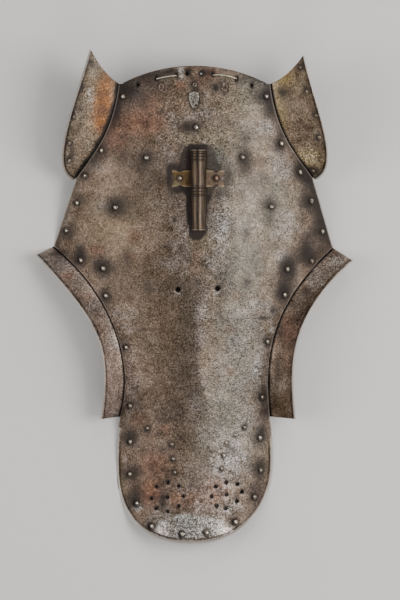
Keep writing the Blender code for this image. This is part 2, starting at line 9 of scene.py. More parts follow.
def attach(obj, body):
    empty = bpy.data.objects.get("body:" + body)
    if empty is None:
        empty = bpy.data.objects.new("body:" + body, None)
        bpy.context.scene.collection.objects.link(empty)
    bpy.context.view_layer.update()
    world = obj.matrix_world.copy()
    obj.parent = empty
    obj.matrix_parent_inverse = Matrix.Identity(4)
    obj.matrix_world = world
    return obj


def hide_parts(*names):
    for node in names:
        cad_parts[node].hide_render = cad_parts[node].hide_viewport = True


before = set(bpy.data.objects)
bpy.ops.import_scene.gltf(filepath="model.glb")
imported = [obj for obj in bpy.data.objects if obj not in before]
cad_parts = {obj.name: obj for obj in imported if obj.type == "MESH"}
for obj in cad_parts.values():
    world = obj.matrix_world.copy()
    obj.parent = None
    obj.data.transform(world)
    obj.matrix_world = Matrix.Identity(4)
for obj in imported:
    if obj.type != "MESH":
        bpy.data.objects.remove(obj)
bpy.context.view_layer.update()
mm = 0.001
bpy.ops.object.select_all(action="DESELECT")
print("frame loaded:", len(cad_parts), "nodes")


# working by hand: small tools

def only(piece):  # selects one object and nothing else
    bpy.ops.object.select_all(action="DESELECT")
    piece.select_set(True)
    bpy.context.view_layer.objects.active = piece


def finishModifier(piece, kind, **settings):  # adds a modifier and applies it
    only(piece)
    modifier = piece.modifiers.new(kind, kind)
    for key, value in settings.items():
        setattr(modifier, key, value)
    bpy.ops.object.modifier_apply(modifier=modifier.name)


def thicken(piece, thickness, even=False):
    finishModifier(piece, "SOLIDIFY", thickness=thickness * mm, offset=-1, use_even_offset=even)


def roundEdges(piece, width, segments=2, degrees=50):
    angle = math.radians(degrees)
    finishModifier(piece, "BEVEL", width=width * mm, segments=segments, limit_method="ANGLE", angle_limit=angle)


def combine(piece, operation, other):  # a boolean that uses the other object up
    finishModifier(piece, "BOOLEAN", operation=operation, solver="EXACT", object=other)
    bpy.data.objects.remove(other)


def editAll(piece, *actions):  # runs edit-mode operators on the whole mesh
    only(piece)
    bpy.ops.object.mode_set(mode="EDIT")
    bpy.ops.mesh.select_all(action="SELECT")
    for action in actions:
        action()
    bpy.ops.object.mode_set(mode="OBJECT")


def selectMesh():
    bpy.ops.mesh.select_all(action="SELECT")


def mergeDoubles():
    bpy.ops.mesh.remove_doubles(threshold=1e-6)


def outwards():
    bpy.ops.mesh.normals_make_consistent(inside=False)


def getPoints(piece):  # the mesh's points in mm
    flat = np.empty(len(piece.data.vertices) * 3)
    piece.data.vertices.foreach_get("co", flat)
    return flat.reshape(-1, 3) / mm


def setPoints(piece, points):
    piece.data.vertices.foreach_set("co", (np.asarray(points) * mm).ravel())
    piece.data.update()


def addSheet(name, rows):  # a grid whose points are moved to the rows given, from +Y to -Y
    rows = np.asarray(rows)[::-1]
    bpy.ops.object.select_all(action="DESELECT")
    bpy.ops.mesh.primitive_grid_add(x_subdivisions=rows.shape[1] - 1, y_subdivisions=rows.shape[0] - 1)
    sheet = bpy.context.object
    sheet.name = name
    setPoints(sheet, rows.reshape(-1, 3))
    return sheet


def addTurned(name, profile, steps):  # spins (radius, height) points, in mm, about Z
    turned = addSheet(name, [[(radius, 0, height) for radius, height in profile]] * 2)
    editAll(
        turned,
        mergeDoubles,
        lambda: bpy.ops.mesh.delete(type="ONLY_FACE"),
        selectMesh,
        lambda: bpy.ops.mesh.spin(steps=steps, angle=math.tau, center=(0, 0, 0), axis=(0, 0, 1)),
        selectMesh, mergeDoubles, outwards,
    )
    return turned


def addPin(radius, length, sides=20):  # a cylinder along Z, in mm
    bpy.ops.mesh.primitive_cylinder_add(vertices=sides, radius=radius * mm, depth=length * mm)
    return bpy.context.object


def joined(name, pieces):
    bpy.ops.object.select_all(action="DESELECT")
    for piece in pieces:
        piece.select_set(True)
    bpy.context.view_layer.objects.active = pieces[0]
    bpy.ops.object.join()
    pieces[0].name = name
    return pieces[0]


def place(piece, matrix):  # moves the mesh, and leaves the object at the origin
    piece.data.transform(matrix)
    piece.data.update()


def shift(x, y, z):  # a move, given in mm
    return Matrix.Translation(Vector((x, y, z)) * mm)


def rotation(degrees, axis):
    return Matrix.Rotation(math.radians(degrees), 4, axis)


def keepOffFloor(piece):  # the lowest edges stand on the floor
    points = getPoints(piece)
    points[:, 2] = np.maximum(points[:, 2], 0)
    setPoints(piece, points)


def smooth(piece, degrees=35):
    only(piece)
    bpy.ops.object.shade_smooth_by_angle(angle=math.radians(degrees))


def step(value, start, end):  # 0 at start, 1 at end, smooth between
    share = np.clip((value - start) / (end - start), 0, 1)
    return share * share * (3 - 2 * share)


def peak(value, middle, width):  # 1 at the middle, and next to nothing two widths away
    return np.exp(-(((value - middle) / width) ** 2))


def blend(a, b, share):
    return a + (b - a) * share


def lumps(points, size, seed=0):  # soft noise from -1 to 1 whose bumps are about size mm wide
    offset = Vector((seed * 17.3, seed * 5.1, seed * 9.7))
    return np.array([noise.noise(Vector(point) / size + offset) for point in points])


# the plate's form, all in mm

plate = {
    "thickness": 1.5,
    "crest": [(-285, 32.5), (-262, 33.2), (-235, 37.6), (-190, 44.4), (-110, 54), (0, 66.5),
              (60, 70.8), (150, 74), (230, 68.5), (285, 58.5)],  # y, height of the crest line
    "wrapPower": 2.4,
    "noseWrap": {"y": -150, "halfWidth": 92, "drop": 46.6},
    "browWrap": {"y": 57, "halfWidth": 163, "drop": 72},
    # the low ridge down the bridge, which wanders to the right as it goes down
    "keel": {"height": 3.2, "spread": 17, "round": 6.5, "top": 20, "foot": -172, "fade": 62,
             "x": [2, 12], "wander": [-80, -128]},
    "topArc": {"crown": 265.7, "radius": 204},
    "earCut": [(87, 245), (94, 192), (110, 172), (137, 136)],
    "eyeCut": {
        "left": [(163, 59), (88, -1), (69, -85), (86.5, -138)],
        "right": [(160, 57.5), (82.5, -14), (81, -73), (87, -138)],
    },
    "noseSide": [(88.5, -148), (90, -160), (90.5, -175), (90.5, -190)],
    "noseEnd": {"centre": -190, "halfWidth": 90.5, "reach": 93.5},
    "noseFullness": {"left": 2.5, "right": 2.09},
    "rows": {"ear": 46, "temple": 38, "eye": 92, "step": 4, "noseSide": 20, "noseCorner": 46},
    "columns": 140,
    "edgeBands": [5.0, 4.2, 3.4, 2.7, 1.8, 0.8, 0.0],  # how far each band is from the edge
    "lip": {"rise": 2.2, "groove": 1.2, "grooveAt": 2.9, "grooveWidth": 0.8, "start": -146, "full": -185},
    "notch": {"y": -150, "depth": 3.4, "length": 10},
    "wobble": {"height": 0.3, "length": 13},  # the edge was cut by hand
    "cornerTurn": 90,  # the radius by which the bands are spread round the nose's corners
    "crownFade": 110,  # how far down from the top the rows keep the crown's curve
    "unevenness": [(60, 0.8), (24, 0.42), (9, 0.13)],  # width of the bumps, height
}


def crestTable():
    rows = plate["crest"]
    ys = np.linspace(rows[0][0], rows[-1][0], 400)
    knots, heights = np.array(rows).T
    slopes = np.gradient(heights, knots)
    slopes[1:-1] = (heights[2:] - heights[:-2]) / (knots[2:] - knots[:-2])
    i = np.clip(np.searchsorted(knots, ys, side="right") - 1, 0, len(knots) - 2)
    span = knots[i + 1] - knots[i]
    t = (ys - knots[i]) / span
    return ys, (
        (2 * t**3 - 3 * t**2 + 1) * heights[i] + (t**3 - 2 * t**2 + t) * span * slopes[i]
        + (3 * t**2 - 2 * t**3) * heights[i + 1] + (t**3 - t**2) * span * slopes[i + 1]
    )


crestY, crestZ = crestTable()


def keelLine(y):
    keel = plate["keel"]
    return blend(*keel["x"], step(-y, -keel["wander"][0], -keel["wander"][1]))


def plateHeight(x, y):
    nose, brow, keel = plate["noseWrap"], plate["browWrap"], plate["keel"]
    share = step(y, nose["y"], brow["y"])
    halfWidth = blend(nose["halfWidth"], brow["halfWidth"], share)
    drop = blend(nose["drop"], brow["drop"], share)
    wrap = drop * (np.abs(x) / halfWidth) ** plate["wrapPower"]
    fade = step(y, keel["foot"], keel["foot"] + keel["fade"])
    fade = fade * (1 - step(y, keel["top"] - keel["fade"], keel["top"]))
    away = np.hypot(x - keelLine(y), keel["round"]) - keel["round"]
    return np.interp(y, crestY, crestZ) - wrap + keel["height"] * fade * np.exp(-away / keel["spread"])


def plateNormal(x, y):
    dx = plateHeight(x + 0.5, y) - plateHeight(x - 0.5, y)
    dy = plateHeight(x, y + 0.5) - plateHeight(x, y - 0.5)
    return Vector((-dx, -dy, 1)).normalized()


def offPlate(x, y, lift):  # a point at a distance from the plate's face
    return Vector((x, y, plateHeight(x, y))) + plateNormal(x, y) * lift


def standOn(x, y, lift=0.0):  # turns Z to the plate's normal, and moves there, in metres
    z = plateNormal(x, y)
    up = (Vector((0, 1, 0)) - z * z.y).normalized()
    turn = Matrix((up.cross(z), up, z)).transposed().to_4x4()
    return shift(*offPlate(x, y, lift)) @ turn


def bezier(points, t):
    a, b, c, d = (np.array(p, dtype=float) for p in points)
    s = 1 - t
    return a * s**3 + b * 3 * s * s * t + c * 3 * s * t * t + d * t**3


cornerAngle = math.radians(45)  # where the rows down the sides meet the rows along the nose's end


def noseCurve(side, angle, inset):
    end, power = plate["noseEnd"], 2 / plate["noseFullness"][side]
    return np.array([
        (end["halfWidth"] - inset) * math.cos(angle) ** power,
        end["centre"] - (end["reach"] - inset) * math.sin(angle) ** power,
    ])


def noseEndY(side, x, inset):
    end, power = plate["noseEnd"], plate["noseFullness"][side]
    share = min(1, abs(x) / (end["halfWidth"] - inset))
    return end["centre"] - (end["reach"] - inset) * (1 - share**power) ** (1 / power)


def lipShare(y):  # 0 above the nose, and 1 round its end, where the edge is turned up
    return step(-y, -plate["lip"]["start"], -plate["lip"]["full"])


def outlineSide(side, inset):  # down one side, from the top corner to the turn of the nose
    rows, eye, nose, notch = plate["rows"], plate["eyeCut"][side], plate["noseSide"], plate["notch"]
    points = [bezier(plate["earCut"], i / rows["ear"]) for i in range(rows["ear"])]
    corner, widest = np.array(plate["earCut"][3]), np.array(eye[0])
    points += [blend(corner, widest, i / rows["temple"]) for i in range(rows["temple"])]
    points += [bezier(eye, i / rows["eye"]) for i in range(rows["eye"])]
    foot, start = np.array(eye[3]), np.array(nose[0])
    points += [blend(foot, start, i / rows["step"]) for i in range(rows["step"])]
    points += [bezier(nose, i / rows["noseSide"]) for i in range(rows["noseSide"])]
    points = [point - (inset, 0) for point in points]
    bands = plate["edgeBands"]
    reach = cornerAngle - (bands[0] - inset) / plate["cornerTurn"]  # the outer bands stop short of the turn
    points += [noseCurve(side, reach * i / rows["noseCorner"], inset) for i in range(rows["noseCorner"] + 1)]
    seed, wobble = 3 if side == "left" else 8, plate["wobble"]
    for point in points:
        if side == "left" and point[1] < notch["y"]:
            point[0] -= notch["depth"] * math.exp((point[1] - notch["y"]) / notch["length"])
        point[0] += wobble["height"] * noise.noise(Vector((point[1] / wobble["length"], seed, 0)))
    return np.array(points)


def topBulge(x):
    arc, corner = plate["topArc"], plate["earCut"][0]
    x = min(abs(x), corner[0])
    return arc["crown"] - arc["radius"] + math.sqrt(arc["radius"] ** 2 - x * x) - corner[1]


def platePlan():  # plan points of the plate, and how far each one is from the edge
    bands, count = plate["edgeBands"], plate["columns"]
    sides = ("left", "right")
    outlines = {side: [outlineSide(side, inset) for inset in bands] for side in sides}
    cornerTurn = plate["cornerTurn"]
    inner = {side: outlines[side][0] for side in sides}
    turn = {side: inner[side][-1] for side in sides}
    topY, noseY, cornerX = inner["left"][0][1], plate["noseSide"][0][1], plate["earCut"][0][0]
    rows, insets = [], []
    for i, (left, right) in enumerate(zip(inner["left"], inner["right"])):
        row = [outlines["left"][b][i] * (-1, 1) for b in range(len(bands) - 1, 0, -1)]
        for j in range(count + 1):
            share = j / count
            x, sideY = blend(-left[0], right[0], share), blend(left[1], right[1], share)
            side, halfWidth = ("left", left[0]) if x < 0 else ("right", right[0])
            turnY = blend(turn["left"][1], turn["right"][1], share)
            topShare = max(0, 1 - (topY - sideY) / plate["crownFade"]) ** 2
            noseShare = max(0, (noseY - sideY) / (noseY - turnY)) ** 2
            endX = x / halfWidth * turn[side][0]
            y = sideY + topShare * topBulge(x / halfWidth * cornerX)
            row.append(np.array([x, y + noseShare * (noseEndY(side, endX, bands[0]) - turnY)]))
        row += [outlines["right"][b][i] for b in range(1, len(bands))]
        rows.append(row)
        insets.append(bands[:0:-1] + [bands[0]] * (count + 1) + bands[1:])
    for b in range(1, len(bands)):  # the bands along the nose's end, with their corner blocks
        corners = {
            side: [
                noseCurve(side, cornerAngle + (bands[a] - bands[b]) / cornerTurn, bands[max(a, b)])
                for a in range(1, len(bands))
            ]
            for side in sides
        }
        middle = []
        for point in rows[len(inner["left"]) - 1][len(bands) - 1:-(len(bands) - 1)]:
            side = "left" if point[0] < 0 else "right"
            spread = noseCurve(side, cornerAngle + (bands[0] - bands[b]) / cornerTurn, bands[b])[0]
            x = point[0] * spread / turn[side][0]
            middle.append(np.array([x, noseEndY(side, x, bands[b])]))
        rows.append([p * (-1, 1) for p in corners["left"][::-1]] + middle + corners["right"])
        side = [bands[max(a, b)] for a in range(1, len(bands))]
        insets.append(side[::-1] + [bands[b]] * (count + 1) + side)
    return np.array(rows), np.array(insets)


# what is riveted to it

def rivetList():  # every rivet of the frame: its name, its kind and its place on the plate
    found = []
    for name in sorted(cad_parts):
        if name.startswith("rivet_"):
            points = getPoints(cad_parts[name])
            centre = points.mean(0)
            normal = np.array(plateNormal(centre[0], centre[1]))
            kind = name.split("_")[1]
            kind = kind if kind in rivet["kinds"] else "lining"
            base = points[np.argmax(points @ normal)] - normal * rivet["kinds"][kind]["cadTop"]
            found.append({"name": name, "kind": kind, "x": base[0], "y": base[1]})
    return found


rivet = {
    "sides": 20,
    "kinds": {  # in mm: cadTop is how far the frame's head stands above the plate's face
        "lining": {"cadTop": 2.05, "radius": 3.2, "height": 1.7, "lift": 0, "through": 1.5},
        "ear": {"cadTop": 2.15, "radius": 3.2, "height": 1.7, "lift": 0, "through": 3.7},
        "eye": {"cadTop": 2.15, "radius": 3.2, "height": 1.7, "lift": 0, "through": 3.7},
        "strap": {"cadTop": 1.65, "radius": 2.4, "height": 1.3, "lift": 0, "through": 1.5},
        "poll": {"cadTop": 1.65, "radius": 2.7, "height": 0.9, "lift": 0, "through": 1.5, "ring": True},
        "bracket": {"cadTop": 3.7, "radius": 2.8, "height": 1.5, "lift": 1.8, "through": 1.5},
        "shield": {"cadTop": 2.8, "radius": 2.4, "height": 0.7, "lift": 1.5, "through": 1.5, "ring": True},
    },
    # across a head: how far out and how high each ring of points is, as a share of its radius and height
    "ringHead": [(0, 0.2), (0.25, 0.25), (0.4, 0.6), (0.55, 1), (0.72, 0.95), (0.86, 0.7), (0.95, 0.3), (1, 0)],
    "domeAngles": [0, 14, 28, 42, 56, 70, 82, 90],
    "shank": 1.4,
    "unevenness": {"width": 2.6, "height": 0.22, "stretch": (0.92, 1.06), "tilt": 5},  # each was struck by hand
    "brownHead": "rivet_bracket_right",
    "lee": 205,  # the side of each head that gets painted shade, away from the light, in degrees
    "dull": {"rivet_strap_2_left": 0.8, "rivet_strap_2_right": 0.5, "rivet_strap_3_right": 0.4,
             "rivet_bracket_right": 0.35, "rivet_forehead_right": 0.5, "rivet_brow_right": 0.3},
    "dimple": {"depth": 0.8, "width": 7.0, "noseDepth": 1.25, "noseWidth": 8.5},
    "halo": {"wide": (9, 14), "tall": (9, 13), "strength": (0.4, 0.7)},  # the broad dark patch round each one
    "footDirt": (5.2, 5.2, 0.88), "smallFootDirt": (4.6, 4.6),
    "toeRows": (228, 240),  # the last few, at the end of the nose, have the blackest rings
    "washers": {"names": ("rivet_eye_upper_left", "rivet_eye_lower_left"), "radius": 6, "width": 1, "rise": 0.6},
}
rivets = rivetList()
edgeRivets = [spot for spot in rivets if spot["kind"] in ("lining", "ear", "eye")]

holes = {
    "rosettes": [  # the middle hole, then the ring round it
        {"x": -31.1, "y": -230.5, "radius": 1.5, "ring": [
            (18.4, 1.5), (13, 13.2), (0.4, 16.8), (-12.8, 12), (-18.5, -1.6), (-12.7, -12.9), (0.4, -16.8),
            (13, -10.7)]},
        {"x": 36.8, "y": -227.6, "radius": 1.75, "ring": [
            (18.1, 3), (12.5, 11.9), (0, 13.9), (-12.2, 9.3), (-17.1, -2), (-11.3, -13), (-0.6, -16),
            (11.9, -7.7)]},
    ],
    "single": [  # x, y, radius
        (-18.9, 8.5, 2.4), (26.7, 9.7, 2.4), (-65, 244, 1.5), (66, 243, 1.5), (-8.2, 256.6, 1.4), (7.6, 256.6, 1.3),
        (-43.7, 250.4, 1.5), (-20.9, 254.2, 1.5), (21.3, 255, 1.5), (48.2, 250.8, 1.7),
    ],
    "packed": [0, 1, 2, 3, 4, 6, 7, 8, 9],  # which single holes get a black plug, as painted shade in them
    "laced": slice(6, 10),  # which ones the wire goes through
    "dimple": {"depth": 0.8, "width": 3.4},
    "rimHighlight": {"at": 1.8, "width": 1.1, "large": 2, "rosettes": 0.45},  # a painted highlight on each hole's lower rim; holes over the large radius get it fully
}


def holeList():
    found = list(holes["single"])
    for rosette in holes["rosettes"]:
        for dx, dy in [(0, 0)] + rosette["ring"]:
            found.append((rosette["x"] + dx, rosette["y"] + dy, rosette["radius"]))
    return found


def dimples(x, y):  # the plate is pressed in round its rivets and holes
    total = np.zeros_like(x)
    dimple, washers = rivet["dimple"], rivet["washers"]
    for spot in edgeRivets:
        depth, width = ("noseDepth", "noseWidth") if spot["y"] < plate["lip"]["start"] else ("depth", "width")
        away = np.hypot(x - spot["x"], y - spot["y"])
        total -= dimple[depth] * peak(away, 0, dimple[width])
        if spot["name"] in washers["names"]:
            total += washers["rise"] * peak(away, washers["radius"], washers["width"])
    dimple = holes["dimple"]
    for holeX, holeY, radius in holeList():
        away = np.hypot(x - holeX, y - holeY)
        total -= dimple["depth"] * radius / 2 * peak(away, 0, dimple["width"] * (0.6 + radius / 2.5))
    return total


# main plate

def makeMainPlate(plan, insets):
    x, y, inset = plan[..., 0].ravel(), plan[..., 1].ravel(), insets.ravel()
    z = plateHeight(x, y) + dimples(x, y)
    flat = np.stack([x, y, z], 1)
    for seed, (width, height) in enumerate(plate["unevenness"]):
        z += height * lumps(flat, width, seed)
    lip = plate["lip"]
    outer = np.clip(1 - inset / plate["edgeBands"][0], 0, 1)
    z += lipShare(y) * (lip["rise"] * outer - lip["groove"] * peak(inset, lip["grooveAt"], lip["grooveWidth"]))
    piece = addSheet("face_plate", np.stack([x, y, z], 1).reshape(*insets.shape, 3))
    thicken(piece, plate["thickness"], even=True)
    roundEdges(piece, 0.35)
    pins = []
    for holeX, holeY, radius in holeList():
        pins.append(addPin(radius, 14))
        place(pins[-1], standOn(holeX, holeY))
    combine(piece, "DIFFERENCE", joined("drill", pins))
    keepOffFloor(piece)
    smooth(piece)
    return piece


# ear and eye guards

earGuard = {
    "rim": {
        "left": [(120, 284.1, 88), (135.5, 227, 92), (171.5, 148, 66), (140, 135, 20.5)],
        "right": [(126, 277.5, 88), (138, 221, 92), (173, 149, 66), (140, 135, 20.5)],
    },
    "cut": {"left": plate["earCut"], "right": plate["earCut"]},
    "cutEnd": 0.97,
    "stations": 70,
    "closes": True,
    "hollow": 4.3,  # how far the top edge, from the plate's corner to the tip, is curved in
    "bead": {"left": 0.75, "right": 0.65},
    "crevice": {"left": 6.0, "right": 3.1},  # width of the painted shade in the crevice beside the plate
    "grooveDirt": 0.9,  # how dark the groove is
    "rivets": {
        "left": [(-117.1, 267.5), (-126.6, 238), (-138.3, 206.9), (-143.1, 176.8), (-143.5, 157.1)],
        "right": [(122.2, 262.3), (129.3, 236.7), (139, 208), (142.7, 182.4), (144.9, 158.1), (136.6, 145)],
    },
}
eyeGuard = {
    "rim": {
        "left": [(182.9, 48, 25), (104, -37, 60), (98, -57.5, 62), (108, -140.6, 32)],
        "right": [(182.9, 41.5, 25), (106, -26, 60), (111.5, -80, 62), (116.4, -140.6, 32)],
    },
    "cut": plate["eyeCut"],
    "cutEnd": 1.0,
    "stations": 90,
    "closes": False,
    "hollow": 0,
    "bead": {"left": 0.7, "right": 0.6},
    "crevice": {"left": 2.2, "right": 2.6},
    "grooveDirt": 0.8,
    "rivets": {"left": [], "right": []},
}
guardSheet = {
    "thickness": 1.3,
    "under": -2.3,  # the flange's face, below the plate's face
    "flange": [14, 10.5, 7, 3.5, 0],
    "bodySteps": 18,
    "lip": 3.2,
    # across the rim: distance from the outer edge as a share of the lip, height as a share of the bead
    "rimProfile": [(0.86, -0.7), (0.72, -0.5), (0.6, 0.5), (0.42, 1.0), (0.2, 0.9), (0.06, 0.3), (0, -0.3)],
    "unevenness": [(38, 0.5), (13, 0.16)],
    "rivet": {"radius": 2.1, "height": 0.9, "sides": 14},
}
sign = {"left": -1, "right": 1}  # the guards are laid out for the right side and mirrored


def guardRows(guard, side):
    rows = []
    cut = guard["cut"][side]
    for i in range(guard["stations"] + 1):
        share = i / guard["stations"]
        t = share * guard["cutEnd"]
        edge = bezier(cut, t)
        along = bezier(cut, min(1, t + 0.01)) - bezier(cut, max(0, t - 0.01))
        along /= np.hypot(*along)
        out = np.array([-along[1], along[0]])
        row = [np.array(offPlate(*(edge - out * inset), guardSheet["under"])) for inset in guardSheet["flange"]]
        foot, rim = row[-1], bezier(guard["rim"][side], share)
        reach = np.hypot(*(rim - foot)[:2])
        top = blend(foot, rim, max(0.5, 1 - guardSheet["lip"] / reach))
        top[2] = rim[2] + 0.3
        straight = step(share, 0.6, 1) if guard["closes"] else 0
        for j in range(1, guardSheet["bodySteps"] + 1):
            s = j / guardSheet["bodySteps"]
            point = blend(foot, top, s)
            point[:2] += along * guard["hollow"] * 4 * s * (1 - s) * (1 - step(share, 0, 0.3))
            point[2] = blend(foot[2], top[2], blend(s**1.45, s, straight))  # it flares out as it rises
            row.append(point)
        bead = guard["bead"][side] * min(1, reach / 9)
        row += [blend(rim, top, away) + (0, 0, height * bead) for away, height in guardSheet["rimProfile"]]
        rows.append([point * (sign[side], 1, 1) for point in row])
    return np.array(rows)


def makeGuard(name, guard, side):
    rows = guardRows(guard, side)
    flat = rows.reshape(-1, 3)
    columns, flange = np.tile(np.arange(rows.shape[1]), rows.shape[0]), len(guardSheet["flange"])
    for seed, (width, height) in enumerate(guardSheet["unevenness"]):
        lift = height * lumps(flat, width, seed + (4 if side == "left" else 11))
        flat[:, 2] += lift * step(columns, flange - 1, flange + 4)  # the flange stays true
    piece = addSheet(name, flat.reshape(rows.shape))
    if side == "left":
        editAll(piece, bpy.ops.mesh.flip_normals)
    thicken(piece, guardSheet["thickness"])
    roundEdges(piece, 0.3, degrees=55)
    keepOffFloor(piece)
    smooth(piece)
    return piece


# rivets

def rivetProfile(kind):  # from the head's crown down to the clenched end
    r, h, lift, end, shank = kind["radius"], kind["height"], kind["lift"], -kind["through"], rivet["shank"]
    if kind.get("ring"):  # dished in the middle by a hollow punch
        head = [(r * share, lift + h * rise) for share, rise in rivet["ringHead"]]
    else:
        head = [(r * math.sin(a), lift + h * math.cos(a)) for a in np.radians(rivet["domeAngles"])]
    return [(0, head[0][1])] + head[1:] + [
        (r * 0.97, lift - 0.5), (shank, lift - 0.6), (shank, end),
        (r * 0.86, end), (r * 0.84, end - 0.35), (r * 0.6, end - 0.75), (0, end - 0.9),
    ]


def rivetWearAndShading(local, spot, turn):  # painted shade round the head's rim, on its lee side and in a ring head's hollow, a black line of painted shade at its foot, and a painted glint on the crown; dull heads are dimmed and one head is brown
    kind, clean = rivet["kinds"][spot["kind"]], 1 - rivet["dull"].get(spot["name"], 0)
    x, y = local[:, 0] / kind["radius"], local[:, 1] / kind["radius"]
    lee = math.radians(rivet["lee"]) - turn
    leeX, leeY = math.cos(lee), math.sin(lee)
    away = np.hypot(x, y)
    if kind.get("ring"):
        sootAndShade = np.maximum(0.9 * step(away, 0.8, 0.95), 0.95 * (1 - step(away, 0.35, 0.5)))
    else:
        sootAndShade = np.maximum(0.9 * step(away, 0.8, 1.0), 0.85 * step(x * leeX + y * leeY, 0.1, 0.75))
    # the painted glint, set off towards the light
    glint = np.hypot(x + 0.2 * leeX, y + 0.2 * leeY)
    return {
        "sootAndShade": sootAndShade * (0.4 + 0.6 * clean),
        "crackAndShade": 0.5 * step(away, 0.9, 1.0) * clean,
        "bright": 0.95 * (1 - step(glint, 0.2, 0.7)) * clean,
        "dim": np.full(len(x), 1 - clean),
        "rust": np.full(len(x), float(spot["name"] == rivet["brownHead"])),
    }


def makeRivets():
    made, uneven = [], rivet["unevenness"]
    random.seed(5)
    patterns = {name: addTurned("pattern_" + name, rivetProfile(kind), rivet["sides"])
                for name, kind in rivet["kinds"].items()}
    for index, spot in enumerate(rivets):
        piece = patterns[spot["kind"]].copy()
        piece.data = piece.data.copy()
        piece.name = spot["name"] + "_head"
        bpy.context.collection.objects.link(piece)
        points = getPoints(piece)
        above = points[:, 2] > rivet["kinds"][spot["kind"]]["lift"]
        points[:, 2] += np.where(above, uneven["height"] * lumps(points, uneven["width"], index), 0)
        points[:, 0] *= random.uniform(*uneven["stretch"])
        points[:, 1] *= random.uniform(*uneven["stretch"])
        setPoints(piece, points)
        turn = random.uniform(0, math.tau)
        paintWearAndShading(piece, extra=lambda local: rivetWearAndShading(local, spot, turn))
        dip = float(dimples(np.array([spot["x"]]), np.array([spot["y"]]))[0])
        tilt = rotation(random.uniform(-uneven["tilt"], uneven["tilt"]), "X")
        place(piece, standOn(spot["x"], spot["y"], dip) @ Matrix.Rotation(turn, 4, "Z") @ tilt)
        smooth(piece, 50)
        made.append((piece, spot))
    for pattern in patterns.values():
        bpy.data.objects.remove(pattern)
    return made


def makeRimRivets(side):
    rows = guardRows(earGuard, side)
    r, h, end = guardSheet["rivet"]["radius"], guardSheet["rivet"]["height"], -guardSheet["thickness"]
    profile = [(0, h)] + [(r * math.sin(a), h * math.cos(a)) for a in np.radians([25, 50, 75, 90])]
    profile += [(r, -0.3), (1, -0.4), (1, end), (r * 0.9, end), (r * 0.7, end - 0.5), (0, end - 0.6)]
    heads = []
    for x, y in earGuard["rivets"][side]:
        away = np.hypot(rows[..., 0] - x, rows[..., 1] - y)
        i, j = np.unravel_index(np.argmin(away), away.shape)
        i, j = min(i, len(rows) - 3), min(j, rows.shape[1] - 2)
        row = rows[i]
        normal = Vector(row[j + 1] - row[j - 1]).cross(Vector(rows[i + 2][j] - row[j]))
        normal = (normal if normal.z > 0 else -normal).normalized()
        heads.append(addTurned("rim_rivet", profile, guardSheet["rivet"]["sides"]))
        place(heads[-1], shift(*row[j]) @ normal.to_track_quat("Z", "Y").to_matrix().to_4x4())
    piece = joined(f"ear_rim_rivets_{side}", heads)
    smooth(piece, 50)
    return piece


# plume holder

plume = {
    "x": 4.9, "top": 169.0, "length": 93, "topRadius": 9.3, "footRadius": 7.2, "wall": 1.2, "sides": 72,
    "lift": 11.1, "y": 135.8,  # its axis above the plate, and the middle of its strap
    "rings": [  # distance from the mouth, width, how far it stands out
        (0.0, 1.8, 0.7), (2.4, 1.8, 0.5), (5.0, 2.6, 0.55), (8.4, 2.6, 0.55), (11.8, 1.6, 0.45),
        (41.8, 1.8, 0.45), (44.9, 2.8, 0.55), (48.6, 2.6, 0.55), (52.1, 1.6, 0.45), (90.6, 2.4, 0.5),
    ],
    "seam": {"angle": 97, "depth": 0.45, "width": 4},  # degrees round the tube
    "flats": 0.12,  # eight faint flats, from the hammer
    "strap": {
        "thickness": 1.5, "lift": 1.85, "notch": 3.8,
        "outline": [  # x, half height
            (-25.4, 9.6), (-21, 9.0), (-18.8, 8.3), (-16.9, 7.4), (-14.8, 8.3), (-12.4, 9.1), (-6, 9.6), (4.9, 9.6),
            (15.5, 9.6), (20.4, 9.2), (22.7, 8.3), (24.6, 7.3), (26.7, 8.4), (28.8, 9.2), (33.8, 9.6)],
    },
    "solder": {"size": (10, 17, 3.6), "lift": 2.2, "bore": 6.6},
}
plumeBase = float(plateHeight(plume["x"], plume["y"]))


def tubeProfile():
    length, wall, spacing = plume["length"], plume["wall"], 0.3
    samples = []
    for distance in np.arange(0, length + spacing / 2, spacing):
        radius = blend(plume["topRadius"], plume["footRadius"], distance / length)
        for start, width, stand in plume["rings"]:
            away = abs(distance - start - width / 2) / (width / 2)
            if away <= 1:
                radius += stand * math.sqrt(max(0, 1 - away**4))
        samples.append((radius, -distance))
    top, foot = plume["topRadius"] - wall, plume["footRadius"] - wall
    bore = [(foot + 0.2, -length), (foot, -length + 0.3)]
    bore += [(blend(foot, top, share), blend(-length, 0, share)) for share in (0.25, 0.5, 0.75)]
    return samples + bore + [(top, -0.3), (top + 0.2, 0), samples[0]]


